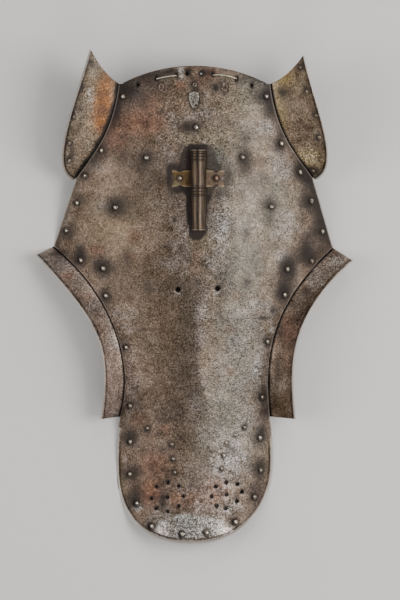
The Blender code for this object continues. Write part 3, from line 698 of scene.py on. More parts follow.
def makePlumeHolder():
    tube = addTurned("brass_plume_holder", tubeProfile(), plume["sides"])
    points = getPoints(tube)
    angle = np.degrees(np.arctan2(-points[:, 1], points[:, 0]))
    radius = np.hypot(points[:, 0], points[:, 1])
    taper = (plume["topRadius"] - plume["footRadius"]) * (1 + points[:, 2] / plume["length"])
    outside = radius > plume["footRadius"] - 0.4 + taper
    seam = plume["seam"]
    change = plume["flats"] * np.cos(np.radians(angle * 8))
    change -= seam["depth"] * peak(angle, seam["angle"], seam["width"])
    points[:, :2] *= (1 + change * outside / radius)[:, None]
    setPoints(tube, points)
    place(tube, shift(plume["x"], plume["top"], plumeBase + plume["lift"]) @ rotation(-90, "X"))
    strap = plume["strap"]
    xs, halves = np.array(strap["outline"]).T
    rows = []
    for share in np.linspace(1, -1, 17):
        row = []
        for x in np.linspace(xs[0], xs[-1], 81):
            half = np.interp(x, xs, halves)
            swallowTail = strap["notch"] * max(0, 1 - 1.7 * abs(share)) * (step(-x, 20, 25.4) - step(x, 28, 33.8))
            row.append(offPlate(x + float(swallowTail), plume["y"] + share * half, strap["lift"]))
        rows.append(row)
    sheet = addSheet("strap", rows)
    thicken(sheet, strap["thickness"])
    roundEdges(sheet, 0.3)
    block = plume["solder"]
    bpy.ops.mesh.primitive_cube_add(size=1)
    solder = bpy.context.object
    size = Matrix.Diagonal((*[side * mm for side in block["size"]], 1))
    place(solder, shift(plume["x"], plume["y"], plumeBase + block["lift"]) @ size)
    editAll(solder, lambda: bpy.ops.mesh.subdivide(number_cuts=5))
    roundEdges(solder, 0.8, 3, 30)
    bore = addPin(block["bore"], 100, 48)
    place(bore, shift(plume["x"], plume["y"], plumeBase + plume["lift"]) @ rotation(90, "X"))
    combine(solder, "DIFFERENCE", bore)
    combine(tube, "UNION", sheet)
    combine(tube, "UNION", solder)
    smooth(tube)
    return tube


# shield, wire, black plugs of painted shade in holes, and plugged eyelets

shield = {
    "x": -0.9, "y": 226.2, "thickness": 1.3,
    "outline": [(-6.2, 7.4), (-3.4, 8.8), (0.8, 9.9), (6.0, 8.4), (6.2, 3.4), (5.2, -4.6), (3.2, -9.2),
                (-1.4, -9.8), (-4.4, -3), (-5.9, 2.6)],
    "hole": {"x": 3.0, "y": -6.6, "radius": 0.95},
}


def makeShield():
    outline, hole = shield["outline"], shield["hole"]
    bpy.ops.mesh.primitive_circle_add(vertices=len(outline), fill_type="NGON")
    piece = bpy.context.object
    piece.name = "shield_plate"
    setPoints(piece, [(x, y, 0) for x, y in outline])
    lift = Vector((0, 0, shield["thickness"] * mm))
    editAll(
        piece,
        lambda: bpy.ops.mesh.extrude_region_move(TRANSFORM_OT_translate={"value": lift}),
        *[lambda: bpy.ops.mesh.inset(thickness=1.0 * mm)] * 4,
        selectMesh, outwards,
    )
    roundEdges(piece, 0.4, 3)
    pin = addPin(hole["radius"], 8)
    place(pin, shift(hole["x"], hole["y"], 0))
    combine(piece, "DIFFERENCE", pin)
    place(piece, standOn(shield["x"], shield["y"], 0.1))
    smooth(piece, 40)
    return piece


wire = {
    "radius": 0.75, "over": 1.0, "behind": -2.6,  # how far its runs lie from the plate's face
    "bend": 1.7, "tail": 7, "sag": [0.3, 0, 1.2],
}


def wireRoute():
    stops = [np.array(spot[:2]) for spot in holes["single"][holes["laced"]]]
    bend, tail, high, low = wire["bend"], wire["tail"], wire["over"], wire["behind"]
    route = [(stops[0] - (tail, 4), low - 0.4), (stops[0] - (tail / 2, 1.5), low - 0.3)]
    turns = np.radians([0, 22, 45, 68, 90])
    for i, here in enumerate(stops):
        ahead = stops[i + 1] - here if i < 3 else np.array([1, -0.5])
        behind = here - stops[i - 1] if i else np.array([1, 0.5])
        ahead, behind = ahead / np.hypot(*ahead), behind / np.hypot(*behind)
        start, end, way = (low, high, bend) if i % 2 == 0 else (high, low, -bend)
        route += [(here - behind * bend * (1 - math.sin(a)), start + way * (1 - math.cos(a))) for a in turns]
        route += [(here + ahead * bend * (1 - math.cos(a)), end - way * (1 - math.sin(a))) for a in turns]
        for s in (0.2, 0.35, 0.5, 0.65, 0.8) if i < 3 else ():
            arch = math.sin(math.pi * s)
            lift = 0.5 * arch if i % 2 == 0 else 0
            route.append((blend(here, stops[i + 1], s) + (0, wire["sag"][i] * arch), end + lift))
    route += [(stops[-1] + (tail / 2, -1.5), low - 0.3), (stops[-1] + (tail, -4), low - 0.4)]
    points = []
    for spot, lift in route:
        point = offPlate(*spot, lift)
        if not points or (point - points[-1]).length > 0.2:
            points.append(point)
    return points


def makeWire():
    curve = bpy.data.curves.new("laced_wire", "CURVE")
    curve.dimensions = "3D"
    curve.bevel_depth = wire["radius"] * mm
    curve.bevel_resolution = 3
    curve.use_fill_caps = True
    route = wireRoute()
    spline = curve.splines.new("POLY")
    spline.points.add(len(route) - 1)
    for knot, point in zip(spline.points, route):
        knot.co = (*(point * mm), 1)
    piece = bpy.data.objects.new("laced_wire", curve)
    bpy.context.collection.objects.link(piece)
    only(piece)
    bpy.ops.object.convert(target="MESH")
    piece = bpy.context.object
    editAll(piece, mergeDoubles, outwards)
    smooth(piece, 60)
    return piece


shadePlug = {"depth": 1.1, "thickness": 0.5, "gap": 0.02}  # how far down it lies, and its gap to the hole's wall


def makeShadePlugs():
    made = []
    for index in holes["packed"]:
        x, y, radius = holes["single"][index]
        made.append(addPin(radius - shadePlug["gap"], shadePlug["thickness"]))
        place(made[-1], standOn(x, y, -shadePlug["depth"]))
    return joined("shade_plugs_in_holes", made)


eyelets = {  # old holes that were closed with a plug
    "spots": [
        {"x": -38.3, "y": 241.0, "wide": 3.4, "tall": 4.6}, {"x": 34.6, "y": 241.8, "wide": 3.7, "tall": 5.6},
    ],
    # share of its width, height
    "profile": [(0, -0.2), (0.42, -0.15), (0.6, 0.1), (0.66, 0.45), (0.78, 0.6), (0.9, 0.45), (1.0, 0.05),
                (1.0, -0.6), (0, -0.6)],
    "sides": 28,
}


def makeEyelets():
    made = []
    for spot in eyelets["spots"]:
        plug = addTurned("plug", eyelets["profile"], eyelets["sides"])
        points = getPoints(plug) * (spot["wide"], spot["tall"], 1)
        points[:, 2] += 0.15 * lumps(points, 2, 3)
        setPoints(plug, points)
        place(plug, standOn(spot["x"], spot["y"]))
        made.append(plug)
    piece = joined("plugged_eyelets", made)
    smooth(piece, 50)
    return piece


# wear and painted light: where the rust, soot and bright metal lie, and where shade and highlights are painted

# each kind of wear, or of painted shade and highlight, is one channel of a colour attribute
wearAndShadingAttributes = {
    "wearAndShading": ("rust", "sootAndShade", "bright"), "tone": ("pale", "dim", "ochre"), "line": ("edge", "crackAndShade", "cool"),
}

# all in mm: x, y, half width, half height, and a strength
stains = {
    "sootAndShade": [  # dark scale and soot; the dark round the strap's right end is painted shadow
        (-76, 238, 14, 9, 0.8), (-58, 226, 17, 14, 0.55), (-92, 217, 10, 22, 0.8), (-89, 243, 8, 8, 0.7),
        (-113, 158, 9, 14, 0.45), (-84, 162, 14, 18, 0.5), (-57, 152, 17, 18, 0.5), (-90, 104, 17, 15, 0.5),
        (-60, 124, 18, 12, 0.42), (-60, 94, 20, 16, 0.4), (-78, 44, 10, 20, 0.5), (-24, 157, 9, 15, 0.3),
        (-9, 195, 10, 8, 0.85), (9, 198, 7, 4, 0.3), (-74, 182, 14, 8, 0.32), (-51, 10, 9, 14, 0.4),
        (90, 236, 9, 15, 0.65), (-28, 258.8, 9, 3.4, 0.85), (-0.9, 245, 4.5, 4.5, 0.6), (24.3, 240.2, 4.6, 4.8, 1),
        (72, 231, 13, 13, 0.45), (86, 214, 9, 12, 0.55), (99, 178, 6, 14, 0.5), (57, 150, 9, 14, 0.5),
        (59, 182, 8, 8, 0.42), (79, 156, 12, 8, 0.35), (130, 146, 12, 13, 1.4), (132, 108, 10, 10, 0.6),
        (145, 78, 9, 10, 0.55), (141, 92, 10, 40, 0.2), (130, 70, 9, 8, 0.5), (130, 45, 8, 8, 0.4),
        (86, 87, 8, 9, 0.42), (60, 72, 8, 9, 0.42), (129, 54, 11, 13, 0.75), (108, 34, 10, 13, 0.65),
        (102, 7, 10, 17, 0.8), (110, 24, 10, 22, 0.35), (60, 17, 9, 9, 0.42), (-132, 50, 8, 13, 0.8),
        (-102, 34, 15, 13, 0.6), (80, -113, 7, 13, 0.65), (86, -51, 5, 8, 0.4), (82, -133, 10, 9, 0.65),
        (77, -156, 8, 13, 0.75), (77, -190, 7, 9, 0.4), (75, -206, 7, 12, 0.5), (44, -176, 9, 7, 0.5),
        (-76, -160, 11, 11, 0.35), (-67, -200, 9, 9, 0.5), (-36.5, -234, 4.6, 16, 0.72), (-68, -224, 8, 8, 0.45),
        (-14, 15, 9, 12, 0.4), (28, 6, 10, 14, 0.3), (79, -24, 8, 3, 0.7), (90, -15, 4, 6, 0.7),
        (-23, 88.6, 2.4, 4.2, 1), (-58, -38, 14, 1.8, 0.5), (-38, 211.6, 9, 2, 0.6), (0.5, 226, 9.5, 12.5, 0.6),
        (10, 257, 5, 5, 0.95), (19, 258.5, 7, 4, 0.75), (-7.5, 258, 4.6, 5, 1), (-38.3, 241, 6, 7, 0.5),
        (36, 234, 8, 6, 0.3), (12, -190, 5, 18, 0.3), (0, 213, 1.0, 8, 0.45), (-20, 122, 9, 5, 0.9),
        (-23, 149, 9, 5, 0.85), (-29, 136, 4.5, 14, 0.9), (28, 119, 9, 8, 0.5), (18, 104, 4, 12, 0.3),
        (37, 138, 9, 17, 0.6), (-5, 62, 12, 4, 0.3), (4, 54, 6, 9, 0.35), (-37, -176, 9, 9, 0.5),
        (-38, 258, 22, 5, 0.4), (64, 251, 16, 5, 0.35), (-56, 252, 18, 6, 0.6),
    ],
    "pale": [  # where the grey of the steel shows through
        (84, 195, 10, 9, 0.9), (106, 144, 11, 10, 0.7), (4, -28, 7, 40, 0.7), (2, -115, 7, 28, 0.6),
        (62, 110, 44, 70, 0.15), (54, -70, 34, 90, 0.35), (45, -180, 38, 50, 0.45), (-4, -262, 44, 16, 0.75),
        (-82, -24, 14, 16, 0.6), (16, -226, 34, 18, 0.6), (24, 66, 12, 38, 0.55), (-77, -90, 11, 48, 0.8),
        (74, -76, 8, 30, 0.8), (86, -15, 7, 9, 0.6), (-80, -189, 6, 9, 0.7), (-27, 190, 15, 34, 0.75),
        (-24, 222, 9, 9, 0.8), (0, 182, 22, 6, 0.6), (10, 209, 26, 8, 0.65), (94, 164, 10, 26, 0.5),
        (106, 80, 12, 15, 0.7), (100, 46, 8, 9, 0.8), (-106, 106, 9, 14, 0.6), (-14, 74, 13, 40, 0.7),
        (-27, 38, 20, 9, 0.7), (18, 42, 6, 10, 0.6), (10, 184, 34, 7, 0.5), (-85, 30, 30, 20, 0.15),
        (31, 84, 9, 30, 0.8),
    ],
    "dim": [  # where the brown scale is thick
        (-74, -166, 14, 22, 0.5), (-52, -226, 18, 16, 0.5), (-24, -259, 4, 6, 0.4), (3, -266, 6, 3, 0.4),
        (-99, 88, 30, 30, 0.55), (64, 130, 28, 28, 0.65), (-52, 4, 44, 32, 0.75), (-32, -74, 30, 52, 0.7),
        (-38, 125, 30, 16, 0.45), (-32, 92, 20, 24, 0.3), (57, 72, 9, 26, 0.45), (24, 114, 7, 12, 0.6),
        (-20, 114, 8, 16, 0.5), (56, 8, 10, 24, 0.5), (-38, -139, 24, 16, 0.85), (-85, 246, 20, 8, 0.5),
        (144, 88, 10, 40, 0.3), (36, -138, 14, 12, 0.9), (68, -243, 12, 18, 0.7), (-56, -264, 8, 8, 0.6),
        (-44, -214, 20, 14, 0.5), (44, -60, 24, 70, 0.6), (-34, -228, 20, 20, 0.4), (104, 22, 16, 30, 0.5),
        (-20, 236, 30, 12, 0.45), (-60, 30, 24, 14, 0.4), (-38, 256, 26, 7, 0.7), (50, 232, 40, 18, 0.3),
        (66, 250, 24, 7, 1.1), (-58, 250, 24, 7, 1.1), (72, 190, 36, 34, 0.45), (50, 30, 34, 60, 0.35),
        (62, -110, 22, 50, 0.2),
    ],
    "cool": [  # blue-grey, where the light skims the bare steel
        (26, 158, 10, 16, 0.8), (-6, -262, 26, 12, 0.6), (50, 60, 36, 75, 0.7), (52, -60, 30, 75, 0.75),
        (72, 236, 32, 24, 1.0), (44, 190, 40, 30, 0.5), (100, 110, 24, 44, 0.7), (44, -172, 30, 30, 0.8),
        (36, -126, 24, 28, 0.8), (10, -170, 14, 30, 0.5), (-40, -262, 14, 8, 0.6), (-66, 236, 16, 14, 0.5),
        (36, 142, 10, 20, 0.8), (24, 165, 10, 10, 0.8),
    ],
    "rust": [  # brown and pink
        (-62, 200, 38, 18, 0.8), (-52, 226, 16, 13, 0.6), (-92, 178, 17, 17, 0.65), (-62, 248, 14, 9, 0.4),
        (18, 257, 9, 6, 0.9), (-17, 243, 8, 7, 0.6), (8, 246, 10, 7, 0.5), (-18, 222, 10, 12, 0.35),
        (-69, 69, 10, 10, 0.6), (-112, 54, 14, 9, 0.65), (-73, 46, 8, 6, 0.5), (2, 40, 8, 22, 0.45),
        (-63, -141, 11, 9, 0.6), (-34, -153, 9, 9, 0.55), (-46, -190, 22, 19, 0.65), (-50, -226, 14, 15, 0.95),
        (-22, -231, 9, 10, 0.55), (-3, -236, 13, 15, 0.55), (24, -222, 17, 17, 0.9), (41, -38, 7, 7, 0.6),
        (41, -85, 7, 7, 0.55), (49, 2, 7, 7, 0.45), (-73, -92, 7, 10, 0.45), (-25, 170, 8, 6, 0.4),
        (40, 195, 14, 10, 0.3), (66, 130, 10, 10, 0.2), (78, -138, 7, 8, 0.4), (62, 234, 12, 12, 0.25),
    ],
    "bright": [  # rubbed bare
        (13, -4, 4.5, 45, 0.45), (50, -75, 27, 62, 0.3), (36, -190, 22, 26, 0.65), (-37, -264, 10, 8, 0.8),
        (-10, -257, 16, 7, 1.5), (14, -259, 14, 8, 0.8), (30, -268, 22, 9, 0.8), (-8, -272, 28, 7, 1.4),
        (3, -240, 9, 12, 0.5), (40, -244, 16, 10, 0.55), (-65, -243, 6, 5, 0.9), (22, -224, 26, 14, 0.45),
        (74, -10, 14, 7, 0.5), (90, -36, 4, 12, 0.6), (88, -84, 4, 16, 0.8), (33, 66, 12, 24, 0.35),
        (84, 196, 12, 10, 0.15), (62, -145, 16, 14, 0.4), (-78, -100, 7, 32, 0.5), (73, -86, 7, 12, 0.5),
        (-26, 204, 9, 16, 0.45), (31, 88, 7, 16, 0.45),
    ],
    "ochre": [  # yellowed by old varnish
        (4, -262, 34, 12, 0.7), (-88, 80, 45, 45, 0.5), (8, 60, 14, 14, 0.7), (4, 182, 34, 8, 0.85),
        (84, -180, 7, 26, 0.6), (-84, -205, 6, 34, 0.5), (-40, -30, 40, 70, 0.3), (40, 225, 30, 20, 0.3),
        (-22, 220, 15, 26, 0.7), (-64, 186, 22, 12, 0.4),
    ],
}
guardStains = {
    "ear_left": {
        "rust": [
            (-104, 224, 13, 24, 0.85), (-108, 200, 9, 18, 0.75), (-99, 250, 12, 14, 0.5), (-122, 204, 8, 24, 0.2),
            (-128, 162, 12, 10, 0.3), (-133, 176, 7, 6, 0.3),
        ],
        "ochre": [(-110, 246, 12, 14, 0.7), (-118, 178, 10, 14, 0.4)],
        "dim": [(-144, 170, 8, 28, 0.45)],
        "pale": [
            (-114, 262, 9, 16, 1.0), (-114, 188, 9, 10, 0.5), (-126, 148, 9, 8, 0.7), (-123, 171, 9, 12, 0.65),
            (-138, 204, 7, 12, 0.5), (-120, 222, 12, 26, 0.7),
        ],
        "bright": [(-121, 232, 6, 10, 0.45), (-118, 232, 7, 14, 0.35)],
        "sootAndShade": [
            (-139, 198, 7, 14, 0.4), (-126, 246, 5, 8, 0.3), (-141, 166, 6, 12, 0.6), (-133, 190, 7, 6, 0.35),
        ],
    },
    "ear_right": {
        "ochre": [
            (103, 252, 11, 9, 0.9), (94, 228, 6, 14, 0.35), (99, 202, 7, 18, 0.5), (131, 159, 15, 9, 1.0),
        ],
        # the cream patch at the guard's foot is partly painted light: painted brighter, so that its steep face,
        # turned from the light, shows pale
        "bright": [(131, 159, 13, 7, 1.2)],
        "pale": [
            (131, 159, 15, 9, 1.1), (118, 240, 7, 8, 0.4), (126, 254, 5, 8, 0.5), (139, 188, 4, 12, 0.3),
        ],
        "sootAndShade": [
            (133, 144.5, 16, 6.5, 0.95), (101, 235, 7, 8, 0.6), (122, 264, 5, 6, 0.5), (141, 186, 6, 16, 0.45),
            (133, 222, 6, 10, 0.3),
        ],
        "dim": [
            (100, 222, 9, 34, 1.0), (127, 240, 10, 20, 0.3), (147, 188, 6, 14, 0.3), (126, 232, 7, 8, 0.5),
            (108, 228, 10, 20, 0.5), (142, 162, 6, 12, 0.3),
        ],
        "rust": [(112, 212, 12, 16, 0.3)],
    },
    "eye_left": {
        "rust": [
            (-147, 24, 10, 8, 0.8), (-124, 2, 10, 10, 0.45), (-98, -92, 10, 22, 0.6), (-100, -125, 10, 12, 0.4),
        ],
        "bright": [(-99, -50, 8, 12, 0.5)],
        "pale": [
            (-98, -56, 12, 16, 0.8), (-160, 37, 22, 11, 1.2), (-119, -12, 9, 10, 0.45), (-98, -100, 9, 26, 0.6),
            (-96, -124, 10, 12, 0.8),
        ],
        "dim": [(-92, -72, 5, 11, 0.5)],
    },
    "eye_right": {
        "rust": [(108, -45, 14, 26, 0.8), (147, 35, 14, 9, 0.3)],
        "dim": [(112, -38, 10, 10, 0.5), (112, -28, 9, 14, 0.5), (96, -78, 8, 10, 0.4)],
        "ochre": [(100, -126, 12, 16, 0.7)],
        "sootAndShade": [(95, -90, 4, 32, 0.5), (99, -38, 6, 14, 0.5), (129, 7, 8, 8, 0.75)],
        "pale": [
            (154, 34, 22, 14, 1.1), (138, 19, 10, 10, 1.0), (118, -12, 7, 7, 0.3), (101, -101, 10, 12, 0.75),
        ],
        "bright": [(163, 40, 12, 8, 0.8)],
    },
}
shieldStains = {
    "sootAndShade": [(0.5, 219, 3, 1.2, 0.7)], "pale": [(-3, 230, 4, 3, 0.6)],
    "crackAndShade": [(-0.9, 227, 3.2, 3.2, 0.75), (2.1, 219.6, 2, 2, 0.9)],
}
# the bright and pale on the right plug's ring are a painted highlight
eyeletStains = {
    "bright": [(36, 243.5, 3, 4, 0.3)], "pale": [(34.6, 241.8, 5, 7, 0.6)], "rust": [(-38.3, 241, 5, 6, 0.6)],
    "crackAndShade": [(34.6, 241.8, 1.6, 2.8, 0.95), (-38.3, 241, 1.5, 1.8, 0.8)],
}
wornBand = (-15.3, 257.5, 3.6, 7)  # a strip across the top edge that is rubbed bright
# the outline of the fitting that once sat under the plume holder: y, left edge, right edge
oldFitting = [
    (65.5, 0, 6), (67, -5, 9.5), (72, -7, 12), (78, -7.8, 13.4), (90, -8.8, 14.2), (108, -10.4, 15.4),
    (118, -12, 18.5), (126, -17, 25), (146, -21.5, 30), (152, -18, 28.5), (160, -15.5, 26.5),
    (168, -13.8, 23.5), (173, -11, 20), (175.5, -3, 16), (177.5, 6, 12),
]
# how the plate's edge is worn, and the shade and highlights painted on it, in mm from the edge
edgeWearAndShading = {
    "groove": {"at": 4.3, "width": 0.9, "strength": 0.95},
    # the pale band on the turned-up lip is a painted highlight
    "lip": {"bright": 2.8, "dull": 3.6, "strength": 0.9},
    "shade": {"reach": 14, "strength": 0.45},  # painted shade: the edges are darker than the middle
    "lowerRightShade": {"reach": 21, "strength": 0.75},
    "line": {"open": 0.9, "underGuard": 0.3},  # a painted highlight along the sheet's corner
    "earGuard": (136, 246), "eyeGuard": (-138, 58),  # the stretches of Y that the guards cover
}


def softSpot(x, y, middleX, middleY, wide, tall, strength):
    return strength * np.exp(-0.9 * (((x - middleX) / wide) ** 2 + ((y - middleY) / tall) ** 2))


def nearLine(points, line):  # how far each point is, in plan, from the nearest point of a line
    tree = kdtree.KDTree(len(line))
    for index, spot in enumerate(line):
        tree.insert((spot[0], spot[1], 0), index)
    tree.balance()
    return np.array([tree.find((point[0], point[1], 0))[2] for point in points])


def paintWearAndShading(piece, spots=None, extra=None, under=0.85):  # puts every kind of wear, and the painted shade and highlights, on the mesh's points
    points = getPoints(piece)
    x, y = points[:, 0], points[:, 1]
    layers = {kind: np.zeros(len(x)) for kinds in wearAndShadingAttributes.values() for kind in kinds}
    normals = np.empty(len(x) * 3)
    piece.data.vertices.foreach_get("normal", normals)
    layers["sootAndShade"] += under * step(-normals[2::3], 0.1, 0.5)  # faces that point down are painted dark: the inside is still black from the forge, and the undersides get painted shade

    def cover(kind, values):  # lays wear over wear, never past full strength
        layers[kind] = 1 - (1 - layers[kind]) * (1 - np.clip(values, 0, 1))

    for kind, rows in (spots or {}).items():
        for spot in rows:
            cover(kind, softSpot(x, y, *spot))
    for kind, values in (extra(points) if extra else {}).items():
        cover(kind, values)
    for name, kinds in wearAndShadingAttributes.items():
        colours = np.stack([layers[kind] for kind in kinds] + [np.ones(len(x))], 1)
        attribute = piece.data.color_attributes.new(name, "FLOAT_COLOR", "POINT")
        attribute.data.foreach_set("color", colours.ravel())


def rivetDirtAndShadow(x, y):  # a broad dark halo round each rivet, and a black ring at its foot that is painted shadow, heaviest on the lee side and at the nose's end
    sootAndShade, crackAndShade = np.zeros((2, len(x)))
    random.seed(11)
    lee, halo = math.radians(rivet["lee"]), rivet["halo"]
    for spot in edgeRivets:
        middleX, middleY = spot["x"], spot["y"]
        size = (random.uniform(*halo["wide"]), random.uniform(*halo["tall"]))
        spread = (middleX + random.uniform(-4, 1), middleY + random.uniform(-1, 4))
        sootAndShade = np.maximum(sootAndShade, softSpot(x, y, *spread, *size, random.uniform(*halo["strength"])))
        sootAndShade = np.maximum(sootAndShade, softSpot(x, y, middleX - 0.7, middleY + 0.5, *rivet["footDirt"]))
        away = np.hypot(x - middleX, y - middleY)
        aside = ((x - middleX) * math.cos(lee) + (y - middleY) * math.sin(lee)) / np.maximum(away, 1)
        toe = float(step(-middleY, *rivet["toeRows"]))
        crackAndShade = np.maximum(crackAndShade, (0.45 + 0.2 * toe + 0.35 * aside) * peak(away, 3.3 + 0.6 * toe, 1.1 + 0.5 * toe))
    for spot in rivets:
        if spot["kind"] in ("strap", "poll"):
            off = 0.4 if spot["kind"] == "strap" else 0
            strength = 0.97 - 0.7 * rivet["dull"].get(spot["name"], 0)
            size = rivet["smallFootDirt"]
            sootAndShade = np.maximum(sootAndShade, softSpot(x, y, spot["x"] - off, spot["y"] - off, *size, strength))
    return sootAndShade, crackAndShade


def holeDirtAndShading(x, y):  # painted shade above and round each hole and in its wall, and a painted highlight on its lower rim
    sootAndShade, crackAndShade, rims = np.zeros((3, len(x)))
    shine = holes["rimHighlight"]
    for holeX, holeY, radius in holeList():
        sootAndShade = np.maximum(sootAndShade, softSpot(x, y, holeX, holeY + 0.7, radius + 1.3, radius + 1.3, 0.75))
        away = np.hypot(x - holeX, y - holeY) - radius
        crackAndShade = np.maximum(crackAndShade, 1 - step(away, 0.25, 1.0))
        share = 1 if radius > shine["large"] else shine["rosettes"] if holeY < plate["lip"]["full"] else 0
        rims = np.maximum(rims, share * peak(away, shine["at"], shine["width"]) * step(holeY - y, 0.8, 2.6))
    return sootAndShade, crackAndShade, rims


def fittingDirt(x, y):  # black where the old fitting kept the dirt, faded at its right and left arms
    ys, lefts, rights = np.array(oldFitting).T
    wobble = 0.8 * np.sin(y / 5.5) + 0.5 * np.sin(y / 2.9)
    left, right = np.interp(y, ys, lefts) + wobble, np.interp(y, ys, rights) + wobble
    inside = step(x, left - 1, left + 1.5) * (1 - step(x, right - 2, right + 3))
    inside *= step(y, 64.5, 67) * (1 - step(y, 174, 178))
    outline = peak(x, left, 1.6) + peak(y, 174, 2) * (x < 12)
    faded = blend(0.95, 0.6, step(x, 12, 17) * step(y, 112, 120))
    faded = blend(faded, 0.6, step(-x, 6, 10) * step(y, 135, 150))
    faded = blend(faded, 0.6, step(x, 13, 18) * step(y, 143, 150))
    return inside * np.clip(faded + 0.3 * outline, 0, 1)


def plateWear(points):
    x, y = points[:, 0], points[:, 1]
    sootAndShade, crackAndShade = rivetDirtAndShadow(x, y)
    holeSootAndShade, holeWallShade, rims = holeDirtAndShading(x, y)
    crease = x - keelLine(y)  # the ridge down the bridge: painted shade on its left, and a little painted light on its right
    alongKeel = step(y, -150, -105) * (1 - step(y, 10, 38))
    dim = 0.5 * alongKeel * np.where(crease < 0, np.exp(crease / 40), np.exp(-crease / 6))
    pale = 0.15 * alongKeel * np.where(crease < 0, 0, np.exp(-crease / 30))
    edge, onLip = nearLine(points, plateEdge), lipShare(y)
    groove, lip = edgeWearAndShading["groove"], edgeWearAndShading["lip"]
    broken = 0.75 + 0.25 * np.sin(x / 7 + 1.3 * np.sin(y / 11))
    groove = groove["strength"] * peak(edge, groove["at"], groove["width"]) * onLip * broken
    # a painted highlight on the nose's lip
    lip = lip["strength"] * (1 - step(edge, lip["bright"], lip["dull"])) * onLip
    lowerRight = (x > 0) & (y < 150)
    reach, strength = (np.where(lowerRight, edgeWearAndShading["lowerRightShade"][key], edgeWearAndShading["shade"][key])
                       for key in ("reach", "strength"))
    shade = strength * (1 - step(edge, 2, reach)) * blend(0.25, 1, step(y, 30, 70)) * (1 - onLip)
    underGuard = sum((y > low) & (y < high) for low, high in (edgeWearAndShading["earGuard"], edgeWearAndShading["eyeGuard"]))
    # a painted highlight along the sheet's corner, weaker under the guards
    line = np.where(underGuard, edgeWearAndShading["line"]["underGuard"], edgeWearAndShading["line"]["open"])
    line = line * (1 - step(edge, blend(0.7, 2.3, onLip), blend(1.5, 3.2, onLip)))
    band = softSpot(x, y, *wornBand, 1) ** 0.6
    rims = np.maximum(band, rims)
    # a painted shadow line round the shield's foot
    shieldShadowLine = 0.85 * peak(nearLine(points, shieldRim), 0, 1.3)
    for spot in eyelets["spots"]:
        away = np.hypot((x - spot["x"]) / spot["wide"], (y - spot["y"]) / spot["tall"])
        sootAndShade = np.maximum(sootAndShade, 0.8 * peak(away, 1.2, 0.25))
    sootAndShade = np.max([sootAndShade, holeSootAndShade, fittingDirt(x, y), shade], axis=0) * (1 - 0.8 * band)
    return {
        "sootAndShade": sootAndShade, "crackAndShade": np.max([crackAndShade, holeWallShade, shieldShadowLine, groove], axis=0), "dim": dim,
        "edge": line, "pale": np.max([pale, lip, rims], axis=0), "bright": rims, "ochre": 0.8 * band,
    }


def guardWearAndShading(guard, side):  # painted shade along the joint, dirt in the groove, and a painted highlight on the rim
    foot = [bezier(guard["cut"][side], i / 200 * guard["cutEnd"]) * (sign[side], 1) for i in range(201)]
    rim = [bezier(guard["rim"][side], i / 200)[:2] * (sign[side], 1) for i in range(201)]

    def paint(points):
        joint, outer = nearLine(points, foot), nearLine(points, rim)
        wide = guard["crevice"][side] * (0.8 + 0.35 * lumps(points, 16, 6))
        crevice = 0.97 * (1 - step(joint, wide * 0.45, wide * 1.5))
        sootAndShade = 0.5 * crevice
        for x, y in guard["rivets"][side]:
            sootAndShade = np.maximum(sootAndShade, softSpot(points[:, 0], points[:, 1], x - 1, y + 0.6, 4.2, 4.6, 0.9))
        crackAndShade = np.maximum(crevice, guard["grooveDirt"] * peak(outer, 3.3, 0.9))
        return {"sootAndShade": sootAndShade, "crackAndShade": crackAndShade, "edge": 0.9 * (1 - step(outer, 1.6, 2.4))}

    return paint


strapStains = {
    "bright": (-19, 131, 3, 4, 0.6), "sootAndShade": (-8, 131, 2, 5, 0.6), "green": (-21, 128, 5, 4, 0.8),
    "dents": [(24.6, 144, 3, 1.8, 0.9), (24.6, 127.6, 3, 1.8, 0.9), (32.6, 135.8, 2, 3, 0.9)],
}


